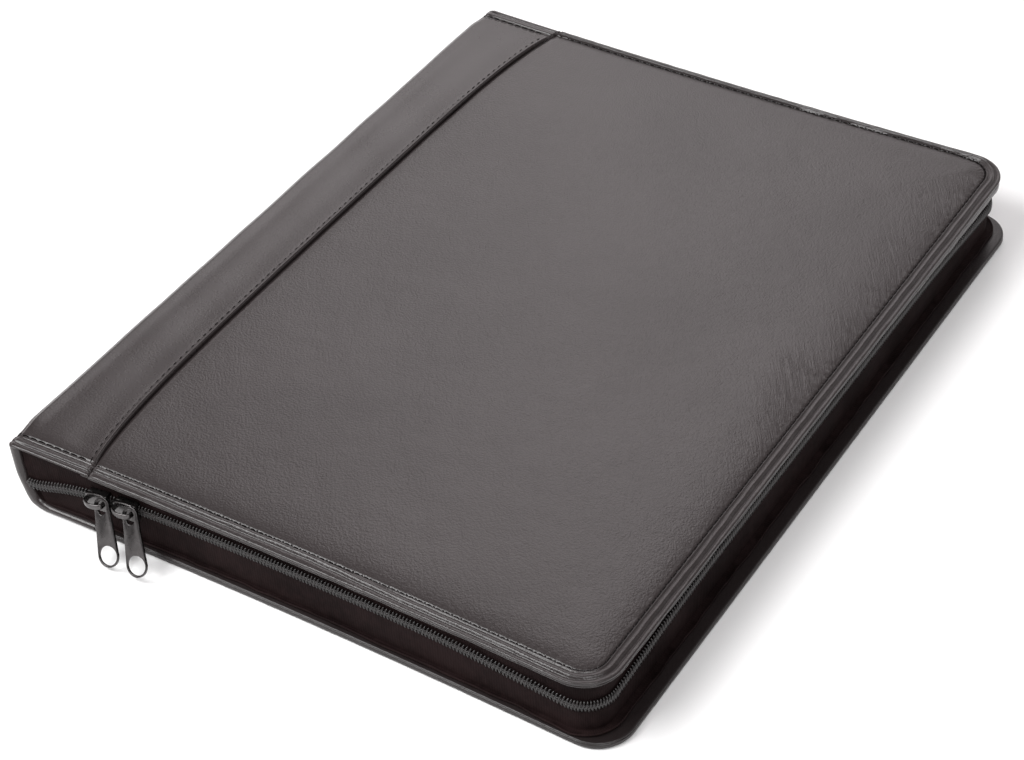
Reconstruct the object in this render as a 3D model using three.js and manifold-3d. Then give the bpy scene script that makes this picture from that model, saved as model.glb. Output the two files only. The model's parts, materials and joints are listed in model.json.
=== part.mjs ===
// A document case of dark leather, closed by a zip round its three open sides, lying on its back.
// Millimetres, +Z up. While the pieces are made, X runs from the face of the spine to the open
// edge, Y from the short side with the zip pulls to the other short side, and Z from the surface
// that the case lies on. The finished group is then moved so that its origin is the middle of its
// footprint, on that surface.

import * as THREE from 'three';
import { mergeVertices } from 'three/addons/utils/BufferGeometryUtils.js';
import Module from 'manifold-3d';

const wasm = await Module();
wasm.setup();

// The case
const CASE_WIDTH = 264.5; // face of the spine to the open edge of the front cover
const CASE_LENGTH = 350; // between the two corners of the front cover at the open edge
const CASE_HEIGHT = 33.4; // surface to the top of the spine strip
const CORNER_RADIUS = 15.9;
const SIDE_BOW = 2.2; // how far each short side curves in at its middle
const BACK_REACH = 3.9; // how far the back cover reaches past the front cover at the open edge
const BACK_INSET = 0.8; // how far its short sides lie inside those of the front cover
const GAP = 0.3; // clearance between pieces that are sewn or laid together

// The spine strip, which laps over both covers
const LAP_REACH = 30; // face of the spine to the lap seam on the front, at its middle
const LAP_FLARE = 9.8; // how far the strip spreads over the cover at each end
const LAP_FLARE_FADE = 30;
const LAP_UNDER = 36; // face of the spine to the lap seam on the back, which runs straight
const STRIP_THICKNESS = 1.8;
const SPINE_WALL = 3;
const SPINE_SWELL = 0.9; // how far the padded face stands out between the turned ends
const SPINE_TOP_RADIUS = 2.2;
const TURNED_END = 4.7; // depth of the thick turned edge at each end of the spine
const TURNED_TOP = 2.1;
const TURNED_SIDE = 4.6;
const STRIP_EDGE_ROUND = 0.6;

// The covers. Depths are measured inwards from the outer face of the spine strip.
const SEAM_INSET = 6.8; // rim to the stitched seam
const RIM_INNER = 8.5; // rim to where the padding starts to rise
const RIM_RELIEF = 0.9; // height of the rim's ridges over the bottom of the seam's groove
const EDGE_CHAMFER = 0.5;
const TONGUE_REACH = 22; // width of the tongue that goes in under the strip
const TONGUE_OVERLAP = 1.5; // how far it reaches back under the padding
const FRONT_SEAM_DEPTH = 1.7;
const FRONT_RIM_UNDER = 2.3;
const FRONT_INNER = 4.6;
const FRONT_CROWN = 1.5; // how far the padding rises over the seam's groove
const FRONT_RAMP = 30; // width of the padding's slope
const BACK_SEAM_DEPTH = 0.9;
const BACK_INNER = 3.3;
const BACK_RAMP = 22;

// The folded strip under the front cover's rim
const WELT_INSET = 0.4;
const WELT_THICKNESS = 1.1;
const WELT_FOLD = 3; // width of the thin outer fold
const WELT_INNER = 7.4;
const WELT_DROOP = 2.4; // how far the fold hangs lower at the far corner of the open edge
const DROOP_SPREAD = 90;

// The zip
const TAPE_INSET = 4.2; // rim of the front cover to the outer face of the tape
const TAPE_THICKNESS = 1.2;
const FOOT_INSET = 1; // rim of the front cover to the folded edge of the tape's foot
const FOOT_THICKNESS = 1.2;
const COIL_HEIGHT = 4.5;
const COIL_THICKNESS = 1.7;
const COIL_LEVEL = 21.8; // middle of the coil above the surface, along the straight sides
const COIL_SPINE_DROP = 15.6; // how far it comes down at the spine
const COIL_SPINE_FADE = 22;
const COIL_CORNER_DIP = 4.6;
const COIL_CORNER_SPREAD = 48;
const COIL_CURL = 5; // how far its end curls up again inside the spine
const COIL_CURL_FADE = 4;
const TAPE_BULGE = 2.2; // how far the tape swells out towards the rim at the spine
const TAPE_SLIT = 0.4; // between the two tapes, behind the coil

// The sliders, each in a frame on the middle line of the coil
const SLIDER_AT = 42.1; // face of the spine to the first slider
const SLIDER_PITCH = 13.4;
const SLIDER_TAIL = 6;
const SLIDER_NOSE = 5;
const SLIDER_TAIL_HEIGHT = 6.2;
const SLIDER_NOSE_HEIGHT = 8.2;
const SLIDER_PLATE = 1.6;
const SLIDER_BEVEL = 0.3;
const FLANGE_THICKNESS = 1.2;
const BAIL_REACH = 4.6;
const BAIL_THICKNESS = 0.95;
const BAIL_WIDTH = 2.4;
const BAIL_SPAN = 9.5;
const BAIL_RAISE = 1.7;
const EYE_STANDOFF = 2.2; // slider's plate to the middle of the pull's eye

// The pulls, each in a frame on the middle of its eye
const PULL_LENGTH = 24; // middle of the eye to the tip
const PULL_HEAD_RADIUS = 3.5;
const PULL_LOOP_WIDTH = 9.6;
const PULL_LOOP_DEPTH = 9.6; // height of the wide loop at the end
const PULL_THICKNESS = 1.1;
const PULL_BEVEL = 0.2;
const EYE_RADIUS = 2;
const EYE_DROP = 1.6; // the eye is a slot, this much longer than wide
const LOOP_RIM = 1.1;
const PULL_LEAN = 28; // degrees that the hanging pull leans out at its tip
const PULL_SWING = 21.5; // degrees that its tip is swung towards the open edge

// The rim of each cover from its edge to its padding: ridges and grooves, then the seam's groove.
// inset is a share of SEAM_INSET, rise a share of RIM_RELIEF over the seam's groove.
const RIM_ROWS = [
  { inset: 0, rise: 0.1 },
  { inset: 0.09, rise: 0.72 },
  { inset: 0.2, rise: 1 },
  { inset: 0.33, rise: 0.62 },
  { inset: 0.48, rise: 0.98 },
  { inset: 0.68, rise: 0.6 },
  { inset: 0.84, rise: 0.7 },
  { inset: 1, rise: 0 },
  { inset: 1.2, rise: 0.4 },
];

// The face of the spine from top to bottom. height is a share of CASE_HEIGHT, and lean, how far
// the face has drawn in there, a share of CASE_HEIGHT too.
const SPINE_ROWS = [
  { height: 0.84, lean: 0 },
  { height: 0.66, lean: 0.004 },
  { height: 0.49, lean: 0.014 },
  { height: 0.3, lean: 0.055 },
  { height: 0.14, lean: 0.1 },
  { height: 0.05, lean: 0.158 },
  { height: 0, lean: 0.3 },
];

// How the padding's slope is cut into steps, as shares of its width
const SLOPE_STEPS = [0, 0.04, 0.12, 0.3, 0.55, 0.8, 1];
const CORNER_STEPS = 6;

// How the length of the case is cut into steps between its padded ends, as shares of it
const LENGTH_STEPS = [0.1, 0.15, 0.22, 0.34];
const SIDE_STEPS = 16;
const SPINE_CROWDING = 1.7; // above 1 draws the steps of a short side together at the spine
const OPEN_EDGE_STEPS = 10;
const ARC_STEPS = 4;
const SPINE_STEPS = 10;
const LOOP_STEPS = 9;

const lerp = THREE.MathUtils.lerp;

// Shapes and solids

// A closed mesh from corner points and triangles, turned so that its faces point out.
function closedGeometry(points, triangles) {
  const geometry = new THREE.BufferGeometry();
  geometry.setAttribute('position', new THREE.Float32BufferAttribute(points.flat(), 3));
  let volume = 0;
  for (const [a, b, c] of triangles) {
    const p = new THREE.Vector3(...points[a]);
    volume += p.dot(new THREE.Vector3(...points[b]).cross(new THREE.Vector3(...points[c])));
  }
  const turned = volume < 0 ? triangles.map(([a, b, c]) => [a, c, b]) : triangles;
  geometry.setIndex(turned.flat());
  return geometry;
}

// Skins a row of outlines, each with as many corners, and closes both ends.
function loft(rings, endOutline) {
  const count = endOutline.length;
  const last = (rings.length - 1) * count;
  const triangles = [];
  for (let r = 0; r + 1 < rings.length; r++) {
    for (let k = 0; k < count; k++) {
      const a = r * count + k;
      const b = r * count + (k + 1) % count;
      triangles.push([a, b, b + count], [a, b + count, a + count]);
    }
  }
  const flat = endOutline.map(([u, v]) => new THREE.Vector2(u, v));
  const backwards = THREE.ShapeUtils.isClockWise(flat);
  for (const [a, b, c] of THREE.ShapeUtils.triangulateShape(flat, [])) {
    triangles.push(backwards ? [a, b, c] : [a, c, b]);
    triangles.push(backwards ? [last + a, last + c, last + b] : [last + a, last + b, last + c]);
  }
  return closedGeometry(rings.flat(), triangles);
}

function toManifold(geometry) {
  const bare = geometry.clone();
  bare.deleteAttribute('normal');
  bare.deleteAttribute('uv');
  const merged = mergeVertices(bare, 1e-4);
  const vertProperties = new Float32Array(merged.attributes.position.array);
  const triVerts = new Uint32Array(merged.index.array);
  return new wasm.Manifold(new wasm.Mesh({ numProp: 3, vertProperties, triVerts }));
}

function fromManifold(manifold) {
  const { vertProperties, triVerts } = manifold.getMesh();
  const geometry = new THREE.BufferGeometry();
  geometry.setAttribute('position', new THREE.Float32BufferAttribute(vertProperties, 3));
  geometry.setIndex(Array.from(triVerts));
  return geometry;
}

function join(...geometries) {
  const [first, ...others] = geometries.map(toManifold);
  return fromManifold(others.reduce((whole, piece) => whole.add(piece), first));
}

function cut(geometry, ...tools) {
  return fromManifold(tools.map(toManifold).reduce((rest, tool) => rest.subtract(tool),
    toManifold(geometry)));
}

function piece(name, geometry, finish) {
  const mesh = new THREE.Mesh(geometry, new THREE.MeshStandardMaterial(finish));
  mesh.name = name;
  return mesh;
}

// The plan of the case

// The short sides bow in: how far, at a distance from the spine.
function sideBow(x) {
  const fromMiddle = 2 * x / CASE_WIDTH - 1;
  return SIDE_BOW * (1 - fromMiddle * fromMiddle);
}

const cornerX = CASE_WIDTH - CORNER_RADIUS;
const nearCornerY = sideBow(cornerX) + CORNER_RADIUS;
const farCornerY = CASE_LENGTH - nearCornerY;

// A point on one of the three open sides, inset from the rim of the front cover. startX gives
// where the two short sides start at the spine, and reach how far the open edge is moved out.
function besideRim({ side, share }, inset, startX, reach = 0) {
  const centreX = cornerX + reach;
  const radius = CORNER_RADIUS - inset;
  const angle = share * Math.PI / 2;
  if (side === 'near') {
    const x = lerp(startX(inset), centreX, share);
    return [x, sideBow(Math.min(x, cornerX)) + inset];
  }
  if (side === 'near corner') {
    return [centreX + radius * Math.sin(angle), nearCornerY - radius * Math.cos(angle)];
  }
  if (side === 'open edge') {
    return [CASE_WIDTH + reach - inset, lerp(nearCornerY, farCornerY, share)];
  }
  if (side === 'far corner') {
    return [centreX + radius * Math.cos(angle), farCornerY + radius * Math.sin(angle)];
  }
  const x = lerp(centreX, startX(CASE_LENGTH - inset), share);
  return [x, CASE_LENGTH - sideBow(Math.min(x, cornerX)) - inset];
}

function stretch(side, steps, crowding = 1) {
  const shares = Array.from({ length: steps + 1 }, (_, i) => (i / steps) ** crowding);
  return shares.map((share) => ({ side, share }));
}

const nearSide = stretch('near', SIDE_STEPS, SPINE_CROWDING);

const STATIONS = [
  ...nearSide,
  ...stretch('near corner', CORNER_STEPS).slice(1),
  ...stretch('open edge', OPEN_EDGE_STEPS).slice(1),
  ...stretch('far corner', CORNER_STEPS).slice(1),
  ...nearSide.toReversed().slice(1).map(({ share }) => ({ side: 'far', share: 1 - share })),
];

// A strip with one section, carried round the three open sides. The section is a closed list of
// [inset, height] corners, worked out for each station.
function roundTheSides(sectionAt, startX, reach = 0) {
  const rings = STATIONS.map((station) => sectionAt(station).map(([inset, height]) => {
    const [x, y] = besideRim(station, inset, (along) => startX(along, height), reach);
    return [x, y, height];
  }));
  return loft(rings, sectionAt(STATIONS[0]));
}

// The lap seam on the front spreads at both ends of the spine.
function frontLap(along) {
  const flare = (distance) => Math.exp(-distance / LAP_FLARE_FADE);
  return LAP_REACH + LAP_FLARE * (flare(along) + flare(CASE_LENGTH - along));
}

const backLap = () => LAP_UNDER;

// The covers

// Both covers are made with their outer face up, as heights under a plane at 0, and are then laid
// in place. seam, under and inner are the depths of the seam's groove, the rim's underside and the
// inner face.
function cover({ seam, rimUnder, inner, crown, ramp, edge, reach, lap }) {
  const rimRows = RIM_ROWS.map(({ inset, rise }) => [
    inset * SEAM_INSET + edge,
    RIM_RELIEF * rise - seam,
  ]);
  const inward = RIM_INNER + edge;
  const section = [
    ...rimRows,
    [inward, RIM_RELIEF * RIM_ROWS.at(-1).rise - seam],
    [inward, GAP - inner],
    [inward - EDGE_CHAMFER, GAP - inner],
    [inward - EDGE_CHAMFER, -rimUnder],
    [edge + EDGE_CHAMFER, -rimUnder],
    [edge, EDGE_CHAMFER - rimUnder],
  ];
  const besideLap = (along) => lap(along) + GAP;
  const rim = roundTheSides(() => section, besideLap, reach);

  // The padded field inside the rim. It rises from the seam and from the lap of the spine strip.
  const edgeLevel = RIM_RELIEF * RIM_ROWS.at(-1).rise - seam;
  const fieldInset = inward - EDGE_CHAMFER / 2;
  const rise = (distance) => THREE.MathUtils.smoothstep(distance, 0, ramp);
  const fieldHeight = (x, y) => {
    const fromSides = Math.min(y - sideBow(x), CASE_LENGTH - sideBow(x) - y);
    const fromSeam = Math.min(fromSides, CASE_WIDTH + reach - x) - fieldInset;
    const lapped = rise(x - besideLap(y) + ramp / 3);
    return edgeLevel - GAP / 3 + (crown - edgeLevel - seam) * rise(fromSeam + ramp / 8) * lapped;
  };
  const fieldLength = CASE_LENGTH - 2 * fieldInset;
  const rowShares = [
    ...SLOPE_STEPS.map((s) => s * ramp / fieldLength),
    ...LENGTH_STEPS.slice(1),
    0.5,
    ...LENGTH_STEPS.slice(1).map((s) => 1 - s).reverse(),
    ...SLOPE_STEPS.map((s) => 1 - s * ramp / fieldLength).reverse(),
  ];
  const straight = cornerX + reach - LAP_REACH;
  const columnShares = [
    ...SLOPE_STEPS.map((s) => s * ramp / straight),
    0.35,
    0.6,
    ...SLOPE_STEPS.map((s) => 1 - s * ramp / straight).reverse(),
  ];
  const nearEdge = [
    ...columnShares.map((share) => ({ side: 'near', share })),
    ...stretch('near corner', CORNER_STEPS).slice(1),
  ].map((station) => besideRim(station, fieldInset, besideLap, reach));
  const farEdge = [
    ...columnShares.map((share) => ({ side: 'far', share: 1 - share })),
    ...stretch('far corner', CORNER_STEPS).toReversed().slice(1),
  ].map((station) => besideRim(station, fieldInset, besideLap, reach));
  const points = [];
  const triangles = [];
  const columns = nearEdge.length;
  const rows = rowShares.length;
  for (let c = 0; c < columns; c++) {
    for (const share of rowShares) {
      const start = besideLap(lerp(fieldInset, CASE_LENGTH - fieldInset, share));
      const x = c < columnShares.length
        ? lerp(start, cornerX + reach, columnShares[c])
        : lerp(nearEdge[c][0], farEdge[c][0], share);
      const y = lerp(nearEdge[c][1], farEdge[c][1], share);
      points.push([x, y, fieldHeight(x, y)]);
    }
  }
  for (let c = 0; c + 1 < columns; c++) {
    for (let r = 0; r + 1 < rows; r++) {
      const a = c * rows + r;
      triangles.push([a, a + rows, a + rows + 1], [a, a + rows + 1, a + 1]);
    }
  }
  const border = [
    ...Array.from({ length: columns }, (_, c) => c * rows),
    ...Array.from({ length: rows - 1 }, (_, r) => (columns - 1) * rows + r + 1),
    ...Array.from({ length: columns - 1 }, (_, c) => (columns - 2 - c) * rows + rows - 1),
    ...Array.from({ length: rows - 2 }, (_, r) => rows - 2 - r),
  ];
  const lower = border.map((index, k) => {
    points.push([points[index][0], points[index][1], -inner]);
    return columns * rows + k;
  });
  border.forEach((index, k) => {
    const next = (k + 1) % border.length;
    triangles.push([index, lower[k], lower[next]], [index, lower[next], border[next]]);
  });
  const flat = lower.map((index) => new THREE.Vector2(points[index][0], points[index][1]));
  for (const [a, b, c] of THREE.ShapeUtils.triangulateShape(flat, [])) {
    triangles.push([lower[a], lower[c], lower[b]]);
  }
  const field = closedGeometry(points, triangles);

  // The tongue that is sewn in under the spine strip
  const tongueTop = -STRIP_THICKNESS - GAP;
  const tongue = new THREE.BoxGeometry(
    TONGUE_REACH,
    CASE_LENGTH - 2 * (RIM_INNER + SIDE_BOW),
    tongueTop + inner - GAP,
  );
  tongue.translate(lap(RIM_INNER + SIDE_BOW) + TONGUE_OVERLAP - TONGUE_REACH / 2, CASE_LENGTH / 2,
    (tongueTop - inner + GAP) / 2);
  return join(rim, field, tongue);
}

// The spine

// The face of the spine with its top and bottom corners, from the top lap to the bottom lap, for a
// skin that lies this far inside the outer one.
function spineOutline(reachOver, reachUnder, inside) {
  const top = CASE_HEIGHT - inside.top;
  const height = top - inside.bottom;
  const radius = Math.max(SPINE_TOP_RADIUS - inside.side / 2, STRIP_EDGE_ROUND);
  const outline = [[reachOver, top]];
  for (let i = 0; i <= ARC_STEPS; i++) {
    const angle = i / ARC_STEPS * Math.PI / 2;
    outline.push([
      inside.side + radius * (1 - Math.sin(angle)),
      top - radius * (1 - Math.cos(angle)),
    ]);
  }
  const face = new THREE.SplineCurve(SPINE_ROWS.map((row) => new THREE.Vector2(
    inside.side + row.lean * CASE_HEIGHT,
    inside.bottom + row.height * height,
  )));
  for (const point of face.getPoints(SPINE_STEPS)) {
    outline.push([point.x, Math.max(point.y, inside.bottom)]);
  }
  outline.push([reachUnder, inside.bottom]);
  return outline;
}

const OUTSIDE = { top: 0, side: 0, bottom: 0 };
const TURNED = { top: TURNED_TOP, side: TURNED_SIDE, bottom: BACK_INNER };
const WALLED = {
  top: STRIP_THICKNESS,
  side: SPINE_WALL - SPINE_SWELL,
  bottom: STRIP_THICKNESS,
};

// Where the hollow of the spine starts at a height, between its turned ends.
function insideSpine(height) {
  const outline = spineOutline(CASE_WIDTH, CASE_WIDTH, TURNED).slice(1, -1);
  const below = outline.findIndex(([, z]) => z <= height);
  if (below < 0) {
    return outline.at(-1)[0] + GAP;
  }
  if (below === 0) {
    return TURNED_SIDE + GAP;
  }
  const [x0, z0] = outline[below - 1];
  const [x1, z1] = outline[below];
  return lerp(x0, x1, (z0 - height) / (z0 - z1)) + GAP;
}

// The ends of the spine lean in to meet the back cover.
function endLean(height) {
  return BACK_INSET * (1 - height / CASE_HEIGHT);
}

// The outer skin of the spine at a place along it, closed inside the case.
function spineSkin(along) {
  const reach = frontLap(along);
  const inside = [[LAP_UNDER, CASE_HEIGHT / 2], [reach, CASE_HEIGHT / 2]];
  return [...spineOutline(reach, LAP_UNDER, OUTSIDE), ...inside];
}

function spineWrap() {
  const rows = RIM_ROWS.map(({ inset, rise }) => ({
    along: inset * SEAM_INSET,
    drop: RIM_RELIEF * (1 - rise),
    swell: 0,
  }));
  rows[0].drop = STRIP_EDGE_ROUND + EDGE_CHAMFER;
  rows.push({ along: 2 * RIM_INNER, drop: 0, swell: SPINE_SWELL });
  rows.push(...LENGTH_STEPS.map((s) => ({ along: s * CASE_LENGTH, drop: 0, swell: SPINE_SWELL })));
  const stations = [
    ...rows.map((row) => ({ ...row, end: 0 })),
    ...rows.map((row) => ({ ...row, end: CASE_LENGTH })).reverse(),
  ];
  const rings = stations.map(({ along: y, drop, swell, end }) => {
    const along = end ? CASE_LENGTH - y : y;
    const outline = spineSkin(along);
    return outline.map(([x, z], k) => {
      const [x0, z0] = outline[Math.max(k - 1, 0)];
      const [x1, z1] = outline[Math.min(k + 1, outline.length - 1)];
      const inward = new THREE.Vector2(z0 - z1, x1 - x0).normalize();
      const onFace = k > 0 && k < outline.length - 3;
      const px = onFace ? x + inward.x * (drop - swell) : x;
      const pz = z > 0 ? z + inward.y * drop : z;
      const offset = sideBow(px) + endLean(pz) + y;
      return [px, end ? CASE_LENGTH - offset : offset, pz];
    });
  });
  const skin = loft(rings, spineSkin(0));
  const hollow = (inside, from, to) => {
    const outline = spineOutline(CASE_WIDTH, CASE_WIDTH, inside);
    const ring = (y) => outline.map(([x, z]) => [x, y, z]);
    return loft([ring(from), ring(to)], outline);
  };
  return cut(
    skin,
    hollow(TURNED, -CASE_HEIGHT, CASE_LENGTH + CASE_HEIGHT),
    hollow(WALLED, TURNED_END + SIDE_BOW, CASE_LENGTH - TURNED_END - SIDE_BOW),
  );
}

// The zip

const halfArc = CORNER_RADIUS * Math.PI / 4;

// How far a station lies from the face of the spine, and from the middle of the nearest rounded
// corner, along the zip.
function alongZip({ side, share }) {
  const start = TURNED_SIDE + GAP;
  const toCorner = cornerX - start;
  if (side === 'near') {
    return [lerp(start, cornerX, share), (1 - share) * toCorner + halfArc];
  }
  if (side === 'far') {
    return [lerp(cornerX, start, share), share * toCorner + halfArc];
  }
  if (side === 'open edge') {
    return [cornerX, Math.min(share, 1 - share) * (farCornerY - nearCornerY) + halfArc];
  }
  return [cornerX, Math.abs(share - 0.5) * 2 * halfArc];
}

// The zip runs high along the sides, dips at the corners and comes down at the spine.
function zipLevel(fromSpine, fromCorner) {
  const drop = COIL_SPINE_DROP * Math.exp(-fromSpine / COIL_SPINE_FADE);
  const spread = fromCorner / COIL_CORNER_SPREAD;
  const curl = COIL_CURL * Math.exp((TURNED_SIDE - fromSpine) / COIL_CURL_FADE);
  return COIL_LEVEL - drop + curl - COIL_CORNER_DIP * Math.exp(-spread * spread);
}

const coilHeight = (station) => zipLevel(...alongZip(station));

// The tape swells out towards the rim near the spine.
const bulge = (fromSpine) => TAPE_BULGE * Math.exp(-fromSpine / COIL_SPINE_FADE);
const tapeInset = (station) => TAPE_INSET - bulge(alongZip(station)[0]);

const besideSpine = (along, height) => insideSpine(height);

function zipCoil() {
  const bevel = COIL_THICKNESS / 2;
  return roundTheSides((station) => {
    const inner = tapeInset(station) - GAP;
    const outer = inner - COIL_THICKNESS;
    const middle = coilHeight(station);
    const low = middle - COIL_HEIGHT / 2;
    const high = middle + COIL_HEIGHT / 2;
    return [
      [inner, low],
      [inner, high],
      [outer + bevel / 2, high],
      [outer, high - bevel],
      [outer, low + bevel],
      [outer + bevel / 2, low],
    ];
  }, besideSpine);
}

function zipTapeUpper() {
  const underPanel = CASE_HEIGHT - FRONT_INNER - GAP;
  const underStrip = CASE_HEIGHT - TURNED_TOP - GAP;
  return roundTheSides((station) => {
    const low = coilHeight(station) + TAPE_SLIT / 2;
    const outer = tapeInset(station);
    const toPanel = THREE.MathUtils.smoothstep(alongZip(station)[0], LAP_REACH / 2, LAP_REACH);
    const top = lerp(underStrip, underPanel, toPanel);
    return [
      [outer, low],
      [outer + TAPE_THICKNESS, low],
      [outer + TAPE_THICKNESS, top],
      [outer, top],
    ];
  }, besideSpine);
}

function zipTapeLower() {
  const base = BACK_INNER + GAP;
  const foot = base + FOOT_THICKNESS;
  return roundTheSides((station) => {
    const outer = tapeInset(station);
    const high = Math.max(coilHeight(station) - TAPE_SLIT / 2, foot + TAPE_SLIT);
    return [
      [FOOT_INSET, base + EDGE_CHAMFER],
      [FOOT_INSET + EDGE_CHAMFER, base],
      [outer + TAPE_THICKNESS, base],
      [outer + TAPE_THICKNESS, high],
      [outer, high],
      [outer, foot],
      [FOOT_INSET + EDGE_CHAMFER, foot],
    ];
  }, besideSpine);
}

// The fold hangs a little lower round the far corner of the open edge.
function weltDroop({ side, share }) {
  const pastCorner = {
    near: Infinity,
    'near corner': Infinity,
    'open edge': (1 - share) * (farCornerY - nearCornerY),
    'far corner': 0,
    far: share * cornerX,
  }[side];
  const spread = pastCorner / DROOP_SPREAD;
  return WELT_DROOP * Math.exp(-spread * spread);
}

function frontWelt() {
  const top = CASE_HEIGHT - FRONT_RIM_UNDER - GAP;
  const low = top - WELT_THICKNESS;
  const chamfer = WELT_THICKNESS / 3;
  const inner = CASE_HEIGHT - FRONT_INNER;
  return roundTheSides((station) => {
    const droop = weltDroop(station);
    return [
      [WELT_INSET, low + chamfer - droop],
      [WELT_INSET + chamfer, low - droop],
      [WELT_FOLD, low - droop],
      [WELT_FOLD + chamfer, inner],
      [WELT_INNER, inner],
      [WELT_INNER, top],
      [WELT_INSET + chamfer, top],
      [WELT_INSET, top - chamfer],
    ];
  }, (along) => frontLap(along) + GAP);
}

// The sliders

// An outline in the plane of the case's side, drawn with X along the zip and Y up, made into a
// plate with bevelled edges. The plate's outer face lies at -depth, its inner face at 0.
function sidePlate(shape, depth, bevel) {
  const plate = new THREE.ExtrudeGeometry(shape, {
    depth: depth - 2 * bevel,
    bevelThickness: bevel,
    bevelSize: bevel,
    bevelOffset: -bevel,
    bevelSegments: 1,
    curveSegments: LOOP_STEPS,
  });
  plate.translate(0, 0, bevel);
  plate.rotateX(Math.PI / 2);
  return plate;
}

function slider() {
  const nose = SLIDER_NOSE_HEIGHT / 2;
  const tail = SLIDER_TAIL_HEIGHT / 2;
  const outline = new THREE.Shape();
  outline.moveTo(-SLIDER_TAIL, -tail);
  outline.lineTo(0, -nose);
  outline.lineTo(SLIDER_NOSE, -nose);
  outline.lineTo(SLIDER_NOSE, nose);
  outline.lineTo(0, nose);
  outline.lineTo(-SLIDER_TAIL, tail);
  const face = -COIL_THICKNESS / 2 - GAP;
  const plate = sidePlate(outline, SLIDER_PLATE, SLIDER_BEVEL);
  plate.translate(0, face, 0);

  // Two flanges reach back past the coil, above and below it.
  const flangeDepth = COIL_THICKNESS + GAP + SLIDER_PLATE / 2;
  const flanges = [-1, 1].map((sign) => {
    const flange = new THREE.BoxGeometry(
      SLIDER_TAIL + SLIDER_NOSE - 2 * SLIDER_BEVEL - 1,
      flangeDepth,
      FLANGE_THICKNESS,
    );
    const off = COIL_HEIGHT / 2 + GAP + FLANGE_THICKNESS / 2;
    const back = COIL_THICKNESS / 2;
    flange.translate((SLIDER_NOSE - SLIDER_TAIL) / 2, back - flangeDepth / 2, sign * off);
    return flange;
  });

  // The bail is an arch over the plate, along the zip.
  const arch = (half, reach, closeAt) => {
    const shape = new THREE.Shape();
    shape.moveTo(-half, closeAt);
    shape.lineTo(-half, -reach / 3);
    shape.bezierCurveTo(-half, -reach, -half, -reach, -half / 3, -reach);
    shape.lineTo(half / 2, -reach);
    shape.bezierCurveTo(half, -reach, half, -reach, half, -reach / 2);
    shape.lineTo(half, closeAt);
    return shape;
  };
  const bar = (shape, width) => {
    const solid = new THREE.ExtrudeGeometry(shape, {
      depth: width,
      bevelEnabled: false,
      curveSegments: ARC_STEPS,
    });
    solid.translate(0, face - SLIDER_PLATE, BAIL_RAISE - width / 2);
    return solid;
  };
  const bail = cut(
    bar(arch(BAIL_SPAN / 2, BAIL_REACH, SLIDER_PLATE / 2), BAIL_WIDTH),
    bar(arch(BAIL_SPAN / 2 - BAIL_THICKNESS, BAIL_REACH - BAIL_THICKNESS, SLIDER_PLATE),
      2 * BAIL_WIDTH),
  );
  return join(plate, ...flanges, bail);
}

// The pulls

function pull() {
  const loop = PULL_LOOP_WIDTH / 2;
  const loopMiddle = -PULL_LENGTH + PULL_LOOP_DEPTH / 2;
  const outline = new THREE.Shape();
  outline.absarc(0, 0, PULL_HEAD_RADIUS, 0, Math.PI);
  outline.lineTo(-loop, loopMiddle);
  outline.absellipse(0, loopMiddle, loop, PULL_LOOP_DEPTH / 2, Math.PI, 2 * Math.PI);
  outline.lineTo(PULL_HEAD_RADIUS, 0);
  const eye = new THREE.Path();
  eye.absarc(0, 0, EYE_RADIUS, 0, Math.PI);
  eye.absarc(0, -EYE_DROP, EYE_RADIUS, Math.PI, 2 * Math.PI);
  const opening = new THREE.Path();
  const openingHeight = PULL_LOOP_DEPTH / 2 - LOOP_RIM;
  opening.absellipse(0, loopMiddle, loop - LOOP_RIM, openingHeight, 0, 2 * Math.PI);
  outline.holes.push(eye, opening);
  const plate = sidePlate(outline, PULL_THICKNESS, PULL_BEVEL);
  plate.translate(0, PULL_THICKNESS / 2, 0);
  return plate;
}

// The pieces, each with its finish

const FRONT_LEATHER = { color: 0x5b5453, roughness: 0.5, metalness: 0 };
const SPINE_LEATHER = { color: 0x4f4847, roughness: 0.5, metalness: 0 };
const BACK_LEATHER = { color: 0x4a4342, roughness: 0.55, metalness: 0 };
const TAPE_CLOTH = { color: 0x231b1b, roughness: 0.85, metalness: 0 };
const COIL_NYLON = { color: 0x171314, roughness: 0.45, metalness: 0 };
const GUNMETAL = { color: 0x3a3838, roughness: 0.35, metalness: 0.9 };

const frontGeometry = cover({
  seam: FRONT_SEAM_DEPTH,
  rimUnder: FRONT_RIM_UNDER,
  inner: FRONT_INNER,
  crown: FRONT_CROWN,
  ramp: FRONT_RAMP,
  edge: 0,
  reach: 0,
  lap: frontLap,
});
frontGeometry.translate(0, 0, CASE_HEIGHT);

// The back cover lies with its outer face down, and its padding is pressed flat on the surface.
const backGeometry = cover({
  seam: BACK_SEAM_DEPTH,
  rimUnder: BACK_INNER,
  inner: BACK_INNER,
  crown: BACK_SEAM_DEPTH,
  ramp: BACK_RAMP,
  edge: BACK_INSET,
  reach: BACK_REACH + BACK_INSET,
  lap: backLap,
});
backGeometry.scale(1, 1, -1);
backGeometry.setIndex(Array.from(backGeometry.index.array).reverse());

const caseBody = new THREE.Group();
caseBody.add(
  piece('front_panel', frontGeometry, FRONT_LEATHER),
  piece('back_panel', backGeometry, BACK_LEATHER),
  piece('spine_wrap', spineWrap(), SPINE_LEATHER),
  piece('front_welt', frontWelt(), SPINE_LEATHER),
  piece('zip_tape_upper', zipTapeUpper(), TAPE_CLOTH),
  piece('zip_tape_lower', zipTapeLower(), TAPE_CLOTH),
  piece('zip_coil', zipCoil(), COIL_NYLON),
);

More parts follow.
